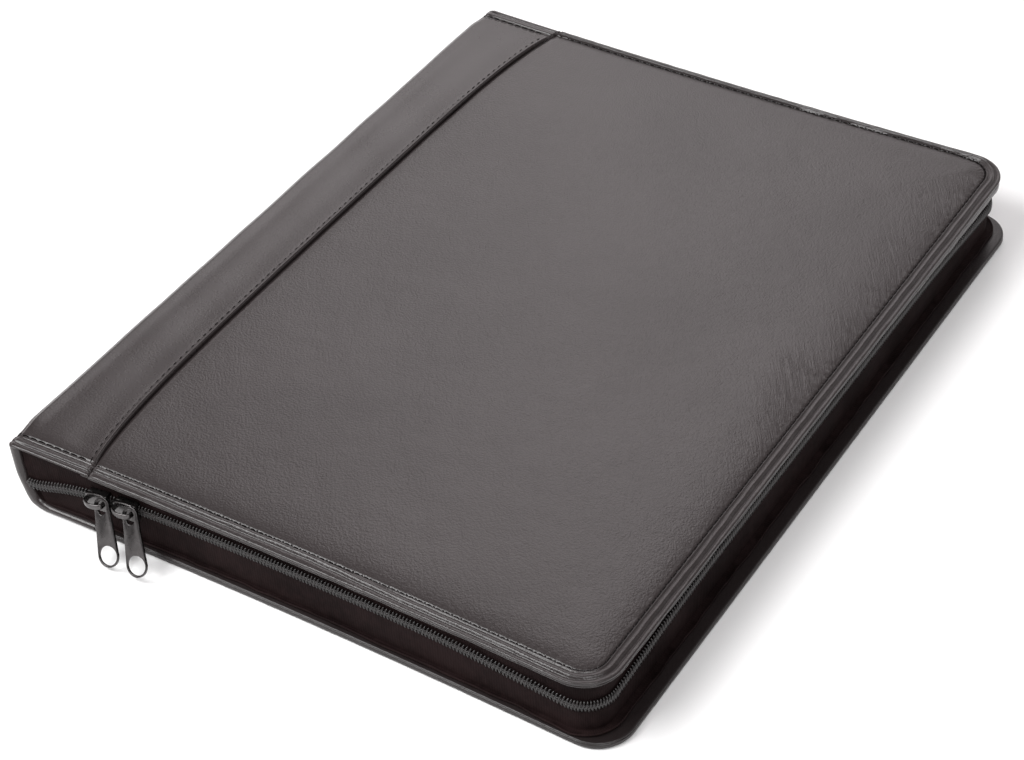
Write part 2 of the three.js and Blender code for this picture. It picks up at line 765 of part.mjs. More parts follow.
// Each slider sits on the coil and follows its slope. Its pull hangs on the bail's leg.
const coilInset = (x) => TAPE_INSET - bulge(x) - GAP - COIL_THICKNESS / 2;
for (const number of [1, 2]) {
  const x = SLIDER_AT + (number - 1) * SLIDER_PITCH;
  const levelAt = (along) => zipLevel(along, cornerX - along + halfArc);
  const seat = new THREE.Group();
  seat.position.set(x, sideBow(x) + coilInset(x), levelAt(x));
  seat.rotation.y = -Math.atan2(levelAt(x + SLIDER_NOSE) - levelAt(x - SLIDER_NOSE),
    2 * SLIDER_NOSE);
  seat.add(piece(`zip_slider_${number}`, slider(), GUNMETAL));
  caseBody.add(seat);

  const eye = new THREE.Vector3(
    BAIL_SPAN / 2 - BAIL_THICKNESS / 2,
    -COIL_THICKNESS / 2 - GAP - SLIDER_PLATE - EYE_STANDOFF,
    BAIL_RAISE,
  );
  seat.updateMatrix();
  eye.applyMatrix4(seat.matrix);
  const hanging = piece(`zip_pull_${number}`, pull(), GUNMETAL);
  hanging.position.copy(eye);
  hanging.rotation.order = 'XYZ';
  hanging.rotation.x = -THREE.MathUtils.degToRad(PULL_LEAN);
  hanging.rotation.y = -THREE.MathUtils.degToRad(PULL_SWING);
  caseBody.add(hanging);
}

// The origin goes to the middle of the footprint, on the surface.
const extent = new THREE.Box3().setFromObject(caseBody, true);
const middle = extent.getCenter(new THREE.Vector3());
caseBody.position.set(-middle.x, -middle.y, -extent.min.z);

const documentCase = new THREE.Group();
documentCase.add(caseBody);

export default documentCase;
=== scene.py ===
# %% [markdown]
# # A leather document case
#
# The case lies on its back cover, and we look at it from above the corner with the zip pulls.
# It is a soft thing made of a few long strips: two padded covers, a spine that wraps round both,
# and a zip sewn in between. Nearly every piece follows the same path round the three open sides,
# so the lesson is mostly about one idea: draw a small section, and carry it along a path.
#
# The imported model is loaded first. It is the fixed frame: each detailed piece takes the place of
# one of its nodes and stays where that node is.

import json
import math

import bmesh
import bpy
import numpy as np
from mathutils import Matrix, Vector
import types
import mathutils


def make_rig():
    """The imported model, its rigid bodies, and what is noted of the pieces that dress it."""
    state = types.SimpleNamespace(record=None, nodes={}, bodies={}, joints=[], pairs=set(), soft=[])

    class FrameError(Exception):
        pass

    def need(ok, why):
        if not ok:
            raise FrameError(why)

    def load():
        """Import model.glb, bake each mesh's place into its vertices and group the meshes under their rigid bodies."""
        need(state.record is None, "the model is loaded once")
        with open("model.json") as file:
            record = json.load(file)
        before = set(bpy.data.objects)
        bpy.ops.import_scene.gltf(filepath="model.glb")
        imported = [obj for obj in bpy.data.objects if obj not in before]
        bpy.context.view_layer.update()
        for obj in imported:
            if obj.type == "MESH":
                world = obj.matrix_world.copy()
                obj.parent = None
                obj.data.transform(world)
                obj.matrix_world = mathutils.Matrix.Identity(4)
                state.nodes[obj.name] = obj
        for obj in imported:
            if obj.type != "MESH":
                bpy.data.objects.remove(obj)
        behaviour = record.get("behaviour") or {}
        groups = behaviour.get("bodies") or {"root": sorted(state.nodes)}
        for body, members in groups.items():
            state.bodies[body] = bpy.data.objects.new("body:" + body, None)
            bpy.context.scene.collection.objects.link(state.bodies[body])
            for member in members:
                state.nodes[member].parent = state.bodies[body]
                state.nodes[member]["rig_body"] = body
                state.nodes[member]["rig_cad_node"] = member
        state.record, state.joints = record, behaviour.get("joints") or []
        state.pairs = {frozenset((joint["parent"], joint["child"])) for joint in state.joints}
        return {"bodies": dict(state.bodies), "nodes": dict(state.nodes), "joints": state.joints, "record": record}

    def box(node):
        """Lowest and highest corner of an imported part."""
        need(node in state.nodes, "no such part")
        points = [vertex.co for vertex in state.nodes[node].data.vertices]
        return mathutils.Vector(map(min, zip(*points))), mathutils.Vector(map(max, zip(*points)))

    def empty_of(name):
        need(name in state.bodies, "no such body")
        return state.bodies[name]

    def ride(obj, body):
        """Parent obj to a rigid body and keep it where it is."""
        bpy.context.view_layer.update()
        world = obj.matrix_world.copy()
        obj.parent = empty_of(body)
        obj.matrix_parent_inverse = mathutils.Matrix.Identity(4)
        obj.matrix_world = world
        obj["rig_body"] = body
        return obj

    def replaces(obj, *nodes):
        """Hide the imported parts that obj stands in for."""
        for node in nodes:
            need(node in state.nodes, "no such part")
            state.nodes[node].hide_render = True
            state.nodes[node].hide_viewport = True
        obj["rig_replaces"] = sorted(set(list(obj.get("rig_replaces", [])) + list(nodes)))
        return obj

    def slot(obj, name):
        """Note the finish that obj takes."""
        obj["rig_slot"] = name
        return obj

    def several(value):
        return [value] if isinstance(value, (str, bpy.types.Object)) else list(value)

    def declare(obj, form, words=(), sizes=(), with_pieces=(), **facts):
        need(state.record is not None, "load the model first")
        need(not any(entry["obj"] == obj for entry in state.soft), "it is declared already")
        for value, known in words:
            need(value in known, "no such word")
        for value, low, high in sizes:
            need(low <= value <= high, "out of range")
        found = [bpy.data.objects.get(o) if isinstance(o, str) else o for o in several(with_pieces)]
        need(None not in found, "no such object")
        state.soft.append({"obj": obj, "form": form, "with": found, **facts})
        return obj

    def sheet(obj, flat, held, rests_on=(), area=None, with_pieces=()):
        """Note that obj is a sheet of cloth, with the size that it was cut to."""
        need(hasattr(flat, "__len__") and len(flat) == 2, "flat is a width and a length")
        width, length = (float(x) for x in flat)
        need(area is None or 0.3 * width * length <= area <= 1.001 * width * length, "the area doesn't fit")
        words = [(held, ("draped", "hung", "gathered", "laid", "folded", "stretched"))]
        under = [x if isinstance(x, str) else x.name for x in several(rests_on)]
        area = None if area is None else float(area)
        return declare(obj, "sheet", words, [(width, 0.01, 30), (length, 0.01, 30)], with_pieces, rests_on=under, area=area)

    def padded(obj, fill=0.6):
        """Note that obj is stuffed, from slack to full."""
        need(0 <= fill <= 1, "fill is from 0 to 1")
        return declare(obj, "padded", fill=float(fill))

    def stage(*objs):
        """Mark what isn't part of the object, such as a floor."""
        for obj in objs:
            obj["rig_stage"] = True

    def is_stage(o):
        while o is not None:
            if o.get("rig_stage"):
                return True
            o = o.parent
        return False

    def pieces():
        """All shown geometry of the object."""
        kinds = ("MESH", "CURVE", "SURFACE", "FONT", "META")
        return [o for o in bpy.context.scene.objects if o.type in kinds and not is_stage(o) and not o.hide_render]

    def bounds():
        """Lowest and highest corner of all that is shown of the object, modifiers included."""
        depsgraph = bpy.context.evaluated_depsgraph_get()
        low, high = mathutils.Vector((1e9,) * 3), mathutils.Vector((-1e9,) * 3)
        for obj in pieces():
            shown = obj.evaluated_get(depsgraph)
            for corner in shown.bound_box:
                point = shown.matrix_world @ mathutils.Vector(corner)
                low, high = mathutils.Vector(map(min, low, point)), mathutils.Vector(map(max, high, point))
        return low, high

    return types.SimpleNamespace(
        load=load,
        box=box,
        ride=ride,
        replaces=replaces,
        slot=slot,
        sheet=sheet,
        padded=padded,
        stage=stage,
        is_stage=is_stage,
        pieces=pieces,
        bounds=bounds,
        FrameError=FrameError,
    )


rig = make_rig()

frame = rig.load()
cad_low, cad_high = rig.bounds()
print("frame:", len(frame["nodes"]), "nodes,", [round(v, 4) for v in cad_high - cad_low], "m")

# %% [markdown]
# ## The camera
#
# A camera can be placed by eye, or worked out from edges whose lengths are known. Here it was
# worked out from the corners of the cover, so its numbers are kept as they came: a place, three
# angles and a lens. Its axes are built by hand from the angles, which avoids guessing at the
# order of Euler rotations.

# %% Place the camera
CAMERA_PLACE = Vector((0.42976, -0.65372, 0.66573))
LOOK_DOWN = math.radians(40.674)
LOOK_LEFT = math.radians(-34.032)
TILT = -0.0585
LENS = 87.468

ahead = Vector((
    math.sin(LOOK_LEFT) * math.cos(LOOK_DOWN),
    math.cos(LOOK_LEFT) * math.cos(LOOK_DOWN),
    -math.sin(LOOK_DOWN),
))
level = Vector((math.cos(LOOK_LEFT), -math.sin(LOOK_LEFT), 0))
upright = level.cross(ahead)
camera_x = math.cos(TILT) * level + math.sin(TILT) * upright
camera_y = -math.sin(TILT) * level + math.cos(TILT) * upright

camera_data = bpy.data.cameras.new("camera")
camera_data.lens = LENS
camera_data.sensor_width = 36
camera_data.clip_start = 0.01
camera = bpy.data.objects.new("camera", camera_data)
camera.matrix_world = Matrix.Translation(CAMERA_PLACE) @ Matrix(
    (camera_x, camera_y, -ahead)
).transposed().to_4x4()
bpy.context.scene.collection.objects.link(camera)
bpy.context.scene.camera = camera
print("camera:", round(CAMERA_PLACE.length, 3), "m from the origin, lens", LENS, "mm")

# %% [markdown]
# ## The plan
#
# All the pieces are drawn in millimetres on one plan: X from the face of the spine to the open
# edge, Y from the short side with the pulls to the other one. A leather worker would cut the
# board on such a plan too. The plan is laid on the frame by the front cover's own box.

# %% Name the sizes of the plan
CASE_WIDTH = 264.5
CASE_LENGTH = 350.0
CASE_HEIGHT = 33.4
CORNER_RADIUS = 15.9
SIDE_BOW = 2.2
GAP = 0.3

cover_low, cover_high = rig.box("front_panel")
PLAN_TO_ROW = np.array([
    cover_high.x * 1000 - CASE_WIDTH,
    (cover_low.y + cover_high.y) * 500 - CASE_LENGTH / 2,
    0.0,
])


def side_bow(x):
    """The short sides curve in a little at their middle."""
    return SIDE_BOW * (1 - (2 * x / CASE_WIDTH - 1) ** 2)


CORNER_X = CASE_WIDTH - CORNER_RADIUS
CORNER_Y = side_bow(CORNER_X) + CORNER_RADIUS
ARC = CORNER_RADIUS * math.pi / 2
OPEN_EDGE = CASE_LENGTH - 2 * CORNER_Y
print("plan to row:", PLAN_TO_ROW.round(3), "mm; open edge", round(OPEN_EDGE, 1), "mm")

# %% [markdown]
# ## Three measures of a place
#
# A place near the rim is easiest to name by two numbers: its run, how far one has walked along
# the three open sides, and its inset, how far it lies in from the rim. `place` turns the two into
# plan X and Y, and `rim_distance` and `run_at` go the other way. With them a seam is a constant
# inset, and a stitch is a step of the run.

# %% Walk along the rim
SPREAD = 60.0


def whole_run(reach=0.0):
    return 2 * (CORNER_X + reach) + 2 * ARC + OPEN_EDGE


def place(run, inset, reach=0.0, start=None, first=0.0):
    """Plan X and Y from run and inset. With start, the first stations are drawn to that X."""
    run, inset = np.broadcast_arrays(np.asarray(run, float), np.asarray(inset, float))
    straight = CORNER_X + reach
    total = whole_run(reach)
    along = np.minimum(run, total - run)
    if start is not None:
        drawn = start + (along - first) * (SPREAD - start) / (SPREAD - first)
        along = np.where(along < SPREAD, drawn, along)
    turn = np.clip((along - straight) / ARC, 0, 1) * math.pi / 2
    radius = CORNER_RADIUS - inset
    on_side = along < straight
    on_open = along > straight + ARC
    x = np.where(on_side, along, straight + radius * np.sin(turn))
    beside = side_bow(np.minimum(along, CORNER_X)) + inset
    y = np.where(on_side, beside, CORNER_Y - radius * np.cos(turn))
    y = np.where(on_open, CORNER_Y + along - straight - ARC, y)
    return x, np.where(run > total / 2, CASE_LENGTH - y, y)


def rim_distance(x, y, reach=0.0):
    """How far a plan point lies in from the rim."""
    y = np.minimum(y, CASE_LENGTH - y)
    beside = y - side_bow(np.minimum(x, CORNER_X))
    rounded = CORNER_RADIUS - np.hypot(x - CORNER_X - reach, y - CORNER_Y)
    in_corner = (x > CORNER_X + reach) & (y < CORNER_Y)
    return np.where(in_corner, rounded, np.minimum(beside, CASE_WIDTH + reach - x))


def run_at(x, y, reach=0.0):
    """How far along the rim the nearest point of it lies."""
    folded = np.minimum(y, CASE_LENGTH - y)
    straight = CORNER_X + reach
    beside = folded - side_bow(np.minimum(x, CORNER_X))
    angle = np.arctan2(np.maximum(x - straight, 0), np.maximum(CORNER_Y - folded, 1e-9))
    along = np.where(folded > CORNER_Y, straight + ARC + folded - CORNER_Y,
                     straight + angle / (math.pi / 2) * ARC)
    on_side = (x <= straight) & (beside < CASE_WIDTH + reach - x)
    along = np.where(on_side, x, along)
    return np.where(y > CASE_LENGTH / 2, whole_run(reach) - along, along)


print("whole run:", round(whole_run(), 1), "mm")

# %% [markdown]
# ## Small helpers
#
# `ease` goes smoothly from 0 to 1, `bump_at` is a soft hump, and `ripples` adds up many waves
# with seeded directions into a gentle unevenness, as leather over wadding has. `build` turns
# points and faces into an object that rides on a body of the frame, and `laid_out` gives its UV
# map: the run and the inset of each point.

# %% Shape helpers
def ease(low, high, value):
    t = np.clip((np.asarray(value, float) - low) / (high - low), 0, 1)
    return t * t * (3 - 2 * t)


def mix(a, b, share):
    return a + (b - a) * share


def bump_at(value, middle, width):
    return np.exp(-(((value - middle) / width) ** 2))


def unit(rows):
    """Each row of a vector, drawn to length 1."""
    return rows / np.linalg.norm(rows, axis=1)[:, None]


def ripples(x, y, seed, size, waves=18):
    """A smooth unevenness of about -1 to 1, with humps of about this size."""
    draw = np.random.default_rng(seed)
    total = 0
    for _ in range(waves):
        way, phase = draw.uniform(0, 2 * math.pi, 2)
        length = size * draw.uniform(0.7, 1.6)
        total = total + np.cos(
            (x * math.cos(way) + y * math.sin(way)) * 2 * math.pi / length + phase)
    return total / math.sqrt(waves)


def lattice(rows, across, wrap=False):
    """The quads between neighbouring rows of points."""
    r, c = np.meshgrid(np.arange(rows - 1), np.arange(across if wrap else across - 1),
                       indexing="ij")
    c2 = (c + 1) % across
    return np.stack([r * across + c, (r + 1) * across + c,
                     (r + 1) * across + c2, r * across + c2], -1).reshape(-1, 4)


def build(name, points, faces, material, body="case", uv=None, sharp=45, replaced=()):
    """Make one piece from points in millimetres of the plan."""
    placed = (np.asarray(points, float).reshape(-1, 3) + PLAN_TO_ROW) / 1000
    mesh = bpy.data.meshes.new(name)
    mesh.from_pydata(placed.tolist(), [], [list(map(int, f)) for f in faces])
    loose = bmesh.new()
    loose.from_mesh(mesh)
    bmesh.ops.recalc_face_normals(loose, faces=loose.faces)
    loose.to_mesh(mesh)
    loose.free()
    if uv is not None:
        layer = mesh.uv_layers.new(name="run_and_inset")
        corner = np.zeros(len(mesh.loops), np.int32)
        mesh.loops.foreach_get("vertex_index", corner)
        layer.data.foreach_set("uv", (np.asarray(uv).reshape(-1, 2)[corner] / 1000).ravel())
    mesh.shade_smooth()
    mesh.set_sharp_from_angle(angle=math.radians(sharp))
    piece = bpy.data.objects.new(name, mesh)
    bpy.context.scene.collection.objects.link(piece)
    mesh.materials.append(material)
    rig.ride(piece, body)
    if replaced:
        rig.replaces(piece, *replaced)
    corners = placed.max(0) - placed.min(0)
    print(f"{name}: {len(mesh.polygons)} faces, {(corners * 1000).round(1)} mm")
    return piece


def laid_out(run, inset, shape):
    """Run and inset of every point of a grid with this shape."""
    return np.stack([np.broadcast_to(run, shape), np.broadcast_to(inset, shape)], -1)


def skin(rings):
    """Faces of a closed section carried along rows, with both ends filled."""
    rows, across = rings.shape[:2]
    faces = lattice(rows, across, wrap=True).tolist()
    faces.append(list(range(across)))
    faces.append(list(range(rows * across - 1, (rows - 1) * across - 1, -1)))
    return faces


# %% [markdown]
# ## Node helpers
#
# Materials are trees of nodes. Wiring them by hand is wordy, so `put` adds a node, sets its
# values and links whatever is handed over as a socket. A `Value` wraps a socket, and arithmetic
# with it adds the math nodes: `a * 0.5 + b` reads like plain Python. `group` starts a node group
# with named inputs and outputs: an effect that several leathers share is built once that way.

# %% Wire nodes
def put(tree, kind, settings=None, *places, **names):
    """Add a node. Its inputs are set in their order or by name, with _ for a space."""
    node = tree.nodes.new(kind)
    for key, value in (settings or {}).items():
        setattr(node, key, value)
    for key, value in [*enumerate(places), *names.items()]:
        socket = node.inputs[key.replace("_", " ") if isinstance(key, str) else key]
        value = getattr(value, "socket", value)
        if isinstance(value, bpy.types.NodeSocket):
            tree.links.new(value, socket)
        else:
            socket.default_value = value
    return node


class Value:
    """A value inside a tree. Arithmetic with it adds the nodes that work it out."""

    def __init__(self, socket):
        self.socket = socket

    def math(self, operation, *others):
        return Value(put(self.socket.id_data, "ShaderNodeMath", {"operation": operation},
                         self, *others).outputs[0])

    def __add__(self, other):
        return self.math("ADD", other)

    def __sub__(self, other):
        return self.math("SUBTRACT", other)

    def __mul__(self, other):
        return self.math("MULTIPLY", other)

    def __truediv__(self, other):
        return self.math("DIVIDE", other)

    def __rtruediv__(self, other):
        return self.math("POWER", -1.0) * other

    def __pow__(self, other):
        return self.math("POWER", other)

    def __abs__(self):
        return self.math("ABSOLUTE")

    def __round__(self):
        return self.math("ROUND")

    def spread(self, low, high, to_low=0.0, to_high=1.0, way="LINEAR"):
        """Stretch its range from low to high onto another one, and stop at the ends."""
        return Value(put(self.socket.id_data, "ShaderNodeMapRange", {"interpolation_type": way},
                         self, low, high, to_low, to_high).outputs[0])


# %% Colours, noise and groups
def feed(value, socket):
    socket.id_data.links.new(getattr(value, "socket", value), socket)


def blend_colours(share, a, b):
    """Two colours mixed. Each is a value or three numbers."""
    node = put(share.socket.id_data, "ShaderNodeMix", {"data_type": "RGBA"}, share)
    for colour, socket in ((a, node.inputs[6]), (b, node.inputs[7])):
        if isinstance(colour, tuple):
            socket.default_value = (*colour, 1)
        else:
            feed(colour, socket)
    return Value(node.outputs[2])


def noise(vector, scale, **settings):
    return Value(put(vector.socket.id_data, "ShaderNodeTexNoise", None, Vector=vector,
                     Scale=scale, **settings).outputs[0])


def object_vector(tree):
    return Value(put(tree, "ShaderNodeTexCoord").outputs["Object"])


def run_and_inset(tree):
    """The UV map that the pieces carry, whole and as its two numbers."""
    where = put(tree, "ShaderNodeUVMap", {"uv_map": "run_and_inset"}).outputs[0]
    apart = put(tree, "ShaderNodeSeparateXYZ", None, where).outputs
    return Value(where), Value(apart[0]), Value(apart[1])


def tilt_normals(shader, height, strength=1.0, distance=1.0):
    """Let a height bump the surface of a shader."""
    feed(put(shader.id_data, "ShaderNodeBump", None, Height=height, Strength=strength,
             Distance=distance).outputs[0], shader.inputs["Normal"])


def group(name, inputs, outputs):
    """A node group. Inputs are name: default, outputs are names of values."""
    tree = bpy.data.node_groups.new(name, "ShaderNodeTree")
    for key, value in inputs.items():
        kind = "NodeSocketVector" if isinstance(value, tuple) else "NodeSocketFloat"
        socket = tree.interface.new_socket(key, in_out="INPUT", socket_type=kind)
        socket.default_value = value
    for key in outputs:
        tree.interface.new_socket(key, in_out="OUTPUT", socket_type="NodeSocketFloat")
    given = {out.name: Value(out) for out in tree.nodes.new("NodeGroupInput").outputs}
    return tree, given, tree.nodes.new("NodeGroupOutput").inputs


def use(tree, group_tree, **inputs):
    """The outputs of a group that is used in this tree."""
    node = put(tree, "ShaderNodeGroup", {"node_tree": group_tree}, **inputs)
    return {out.name: Value(out) for out in node.outputs}


# %% [markdown]
# ## The grain of leather
#
# Grained leather is a field of small rounded cells with fine pores and a few longer wrinkles.
# Cells come from a Voronoi pattern, pores from fine noise, and wrinkles from coarser noise that is
# distorted. All sizes are in metres, the unit of the scene, so a cell of 0.0009 is the
# 0.9 mm of the real grain.

# %% Group: leather grain
grain_tree, given, result = group(
    "leather grain", {"Vector": (0.0, 0.0, 0.0), "Cell Size": 0.0009, "Wrinkle Size": 0.009},
    ["Height", "Pores"])
at = given["Vector"]
wobble = put(grain_tree, "ShaderNodeTexNoise", None, Vector=at, Scale=420.0, Detail=2.0)
shifted = put(grain_tree, "ShaderNodeVectorMath", {"operation": "MULTIPLY_ADD"},
              wobble.outputs["Color"], (0.0009, 0.0009, 0.0009), at).outputs[0]
per_cell = 1.0 / given["Cell Size"]
cells = Value(put(grain_tree, "ShaderNodeTexVoronoi", {"feature": "SMOOTH_F1"}, Vector=shifted,
                  Scale=per_cell, Smoothness=0.35).outputs["Distance"])
pores = noise(at, per_cell * 1.9, Detail=3.0)
wrinkles = noise(at, 1.0 / given["Wrinkle Size"], Detail=4.0, Roughness=0.55, Distortion=0.6)
feed(wrinkles * 0.7 + pores * 0.5 + cells * -0.55 + 0.6, result["Height"])
feed(pores.spread(0.35, 0.6), result["Pores"])
print("group:", grain_tree.name, len(grain_tree.nodes), "nodes")

# %% [markdown]
# ## Handled leather
#
# Dye and polish are never even. One broad noise gives clouds of a few centimetres, another gives
# the small mottling between them, and both are put out as one value that the leathers use to
# mix two tones of their colour and to move their roughness.

# %% Group: handled tone
tone_tree, given, result = group(
    "handled tone", {"Vector": (0.0, 0.0, 0.0), "Cloud Size": 0.05, "Mottle": 0.35}, ["Tone"])
clouds = noise(given["Vector"], 1.0 / given["Cloud Size"], Detail=3.0)
mottle = noise(given["Vector"], 330.0, Detail=4.0, Roughness=0.6)
feed(((mottle - 0.5) * given["Mottle"] + clouds).spread(0.32, 0.68), result["Tone"])

# %% [markdown]
# ## Holes along a seam
#
# The needle leaves a hole at each stitch, and the shade inside it is painted into the colour as a
# dark spot. A group finds them from the run and the inset, which every leather piece carries as its
# UV map: the run is wrapped to one stitch, the inset is measured from the seam, and the distance to
# the hole gives a soft round mask.

# %% Group: stitch holes
hole_tree, given, result = group(
    "stitch holes", {"Line": 0.0068, "Pitch": 0.0039, "Size": 0.0006}, ["Hole"])
_, along, inwards = run_and_inset(hole_tree)
steps = along / given["Pitch"]
off_run = (steps - round(steps)) * given["Pitch"]
off_inset = inwards - given["Line"]
away = (off_inset ** 2.0 + off_run ** 2.0).math("SQRT")
feed(away.spread(given["Size"], given["Size"] * 0.35, way="SMOOTHSTEP"), result["Hole"])

# %% [markdown]
# ## Hair creases
#
# Where the leather is drawn over the padding at the open edge, it breaks into creases as fine as
# hairs that run in from the seam. They are too fine for the mesh, so a group makes them as
# height: noise that is squeezed along the run and stretched along a slanted inset, kept to a
# band inside the seam of the open edge.

# %% Group: hair creases
crease_tree, given, result = group(
    "hair creases", {"Depth": 0.00016, "Start": 0.34, "End": 0.6}, ["Height"])
where, along, inwards = run_and_inset(crease_tree)
drawn = put(crease_tree, "ShaderNodeCombineXYZ", None, inwards * -1.5 + along, inwards)
squeezed = put(crease_tree, "ShaderNodeVectorMath", {"operation": "MULTIPLY"},
               drawn.outputs[0], (420.0, 75.0, 1.0))
hairs = noise(Value(squeezed.outputs[0]), 1.0, Detail=2.5, Distortion=0.8)
some = noise(where, 28.0).spread(0.38, 0.62)
across = inwards.spread(0.0066, 0.0086) * inwards.spread(0.034, 0.012)
lengthways = (along - given["Start"]).spread(0.0, 0.14)
lengthways = lengthways * (given["End"] - along).spread(0.0, 0.012)
band = across * lengthways * (some * 0.8 + 0.2)
feed(abs(hairs - 0.5).spread(0.0, 0.12) * given["Depth"] * band, result["Height"])

# %% [markdown]
# ## The leathers
#
# Three leathers are cut from one dyed hide, but the padded front is grained, the strip over the
# spine is smoother and a little shinier, and the back is plain. The back's two tones are also set
# about half as bright, as painted shade for where it lies low under the front cover. So one
# function mixes the three shared groups with its own values: two tones, a roughness, and how deep
# the grain is.

# %% Make the three leathers
def plain(name, colour, roughness, metallic=0.0):
    material = bpy.data.materials.new(name)
    material.use_nodes = True
    shader = material.node_tree.nodes["Principled BSDF"]
    shader.inputs["Base Color"].default_value = (*colour, 1)
    shader.inputs["Roughness"].default_value = roughness
    shader.inputs["Metallic"].default_value = metallic
    return material, material.node_tree, shader


def leather(name, dark, light, roughness, grain_depth, cell_size, mottle, holes=None,
            creases=False):
    """A dyed leather of two tones, grained, with stitch holes where it has a seam, their shade painted dark into the
    colour.
    """
    material, tree, shader = plain(name, dark, roughness)
    at = object_vector(tree)
    grain = use(tree, grain_tree, Vector=at, Cell_Size=cell_size)
    tone = use(tree, tone_tree, Vector=at, Mottle=mottle)["Tone"]
    colour = blend_colours(tone, dark, light)
    colour = blend_colours(grain["Pores"].spread(0, 1, 0.22, 0), colour, (0.004, 0.003, 0.003))
    height = grain["Height"] * grain_depth
    if holes is not None:
        hole = use(tree, hole_tree, Line=holes / 1000)["Hole"]
        # painted shade: inside each stitch hole the colour turns almost black
        colour = blend_colours(hole * 0.9, colour, (0.002, 0.0015, 0.0015))
        height = hole * -0.0006 + height
    if creases:
        height = height + use(tree, crease_tree)["Height"]
    feed(colour, shader.inputs["Base Color"])
    feed(tone.spread(0, 1, roughness + 0.012, roughness - 0.012), shader.inputs["Roughness"])
    tilt_normals(shader, height)
    shader.inputs["Specular IOR Level"].default_value = 0.45
    return material


FRONT_LEATHER = leather("front leather", (0.023, 0.0182, 0.0182), (0.0262, 0.0208, 0.0208),
                        0.29, 0.00012, 0.0009, 0.5, holes=6.8, creases=True)
SPINE_LEATHER = leather("spine leather", (0.0225, 0.0178, 0.0178), (0.0255, 0.0203, 0.0203),
                        0.27, 0.00006, 0.0008, 0.4)
# painted shade: the back is the same hide, given darker tones for lying in shade under the front cover's rim
BACK_LEATHER_DARKENED_FOR_SHADE = leather("back leather", (0.012, 0.0085, 0.0085), (0.018, 0.0135, 0.0135),
                       0.34, 0.0001, 0.0009, 0.4, holes=6.8)
print("leathers:", FRONT_LEATHER.name, SPINE_LEATHER.name, BACK_LEATHER_DARKENED_FOR_SHADE.name)

# %% [markdown]
# ## The other finishes
# The zip tape is a ribbed weave: its ribs run across the tape, one for each step of the run, so
# a sine of the run makes them; the same sine also paints light and shade along the ribs into the
# tape's colour. The coil is a smooth nylon wire with a soft shine, the thread is a
# dull twisted cord, and the sliders and pulls are plated a dark grey and brushed along the pull.

# %% Make tape and nylon
RIB_PITCH = 0.0011
WEFT_PITCH = 0.0005

TAPE, tree, shader = plain("zip tape", (0.006, 0.004, 0.004), 0.75)
_, along, inwards = run_and_inset(tree)
rib = (along * (2 * math.pi / RIB_PITCH)).math("SINE")
weft = (inwards * (2 * math.pi / WEFT_PITCH)).math("SINE")
at = object_vector(tree)
tone = use(tree, tone_tree, Vector=at, Cloud_Size=0.03, Mottle=0.8)["Tone"]
# painted shade and highlight: the rib sine darkens and lightens the tape's colour as light falls on the ribs, on top
# of its random tone
tone_and_painted_rib_shade = (rib * 0.18 + tone).spread(-0.2, 1.2)
feed(blend_colours(tone_and_painted_rib_shade, (0.006, 0.0033, 0.0033), (0.016, 0.009, 0.009)),
     shader.inputs["Base Color"])
fibre = noise(at, 900.0, Detail=3.0)
tilt_normals(shader, rib * 0.00004 + weft * 0.00002 + fibre * 0.00008, strength=0.8)
shader.inputs["Specular IOR Level"].default_value = 0.06

NYLON, tree, shader = plain("coil nylon", (0.012, 0.009, 0.009), 0.3)
tone = use(tree, tone_tree, Vector=object_vector(tree), Cloud_Size=0.004, Mottle=0.6)["Tone"]
feed(blend_colours(tone, (0.005, 0.004, 0.004), (0.013, 0.01, 0.01)), shader.inputs["Base Color"])
feed(tone.spread(0, 1, 0.26, 0.42), shader.inputs["Roughness"])

# %% Make thread and gunmetal
THREAD, tree, shader = plain("thread", (0.004, 0.003, 0.003), 0.75)
shader.inputs["Specular IOR Level"].default_value = 0.15
twist = Value(put(tree, "ShaderNodeTexWave", {"bands_direction": "DIAGONAL"},
                  Vector=object_vector(tree), Scale=900.0, Distortion=2.0).outputs[1])
feed(blend_colours(twist, (0.002, 0.0014, 0.0014), (0.006, 0.0045, 0.0045)),
     shader.inputs["Base Color"])
tilt_normals(shader, twist, strength=0.4, distance=0.0002)

GUNMETAL, tree, shader = plain("gunmetal", (0.09, 0.088, 0.087), 0.3, 1.0)
at = object_vector(tree)
stretched = put(tree, "ShaderNodeMapping", None, Vector=at, Scale=(900.0, 900.0, 60.0))
brushed = noise(Value(stretched.outputs[0]), 1.0, Detail=3.0)
rubbed = use(tree, tone_tree, Vector=at, Cloud_Size=0.006, Mottle=0.4)["Tone"]
feed(blend_colours(rubbed, (0.085, 0.08, 0.08), (0.115, 0.11, 0.11)), shader.inputs["Base Color"])
feed(brushed.spread(0.3, 0.7, 0.24, 0.36), shader.inputs["Roughness"])
tilt_normals(shader, brushed, strength=0.25, distance=0.00004)
print("finishes:", [m.name for m in bpy.data.materials if m.node_tree])

# %% [markdown]
# ## The front cover
#
# The front cover is leather over board and thin wadding. Its rim is turned and stitched, which
# leaves long ridges and grooves; inside the seam the padding swells up, dips beside the strip of
# the spine and goes in under it. Cloth simulation with pressure would give one round pillow and
# lose the narrow rim, so the surface is drawn as one height over the plan: each ridge, groove and
# pucker is a small term of that height, and the terms read like a list of what the hand feels.

# %% Where the strip of the spine laps over
LAP_REACH = 30.0
LAP_FLARE = 9.8
LAP_FADE = 30.0
TUCKED = 4.0
UNDER_STRIP = -2.12


def front_lap(y):
    """The lap seam, which spreads over the cover at both ends of the spine."""
    return LAP_REACH + LAP_FLARE * (np.exp(-y / LAP_FADE) + np.exp((y - CASE_LENGTH) / LAP_FADE))


print("lap seam:", round(float(front_lap(175.0)), 1), "to", round(float(front_lap(2.0)), 1), "mm")

# %% The rim's ridges and grooves
SEAM = 6.8
FAR_SEAM = 3.0
STITCH = 3.9

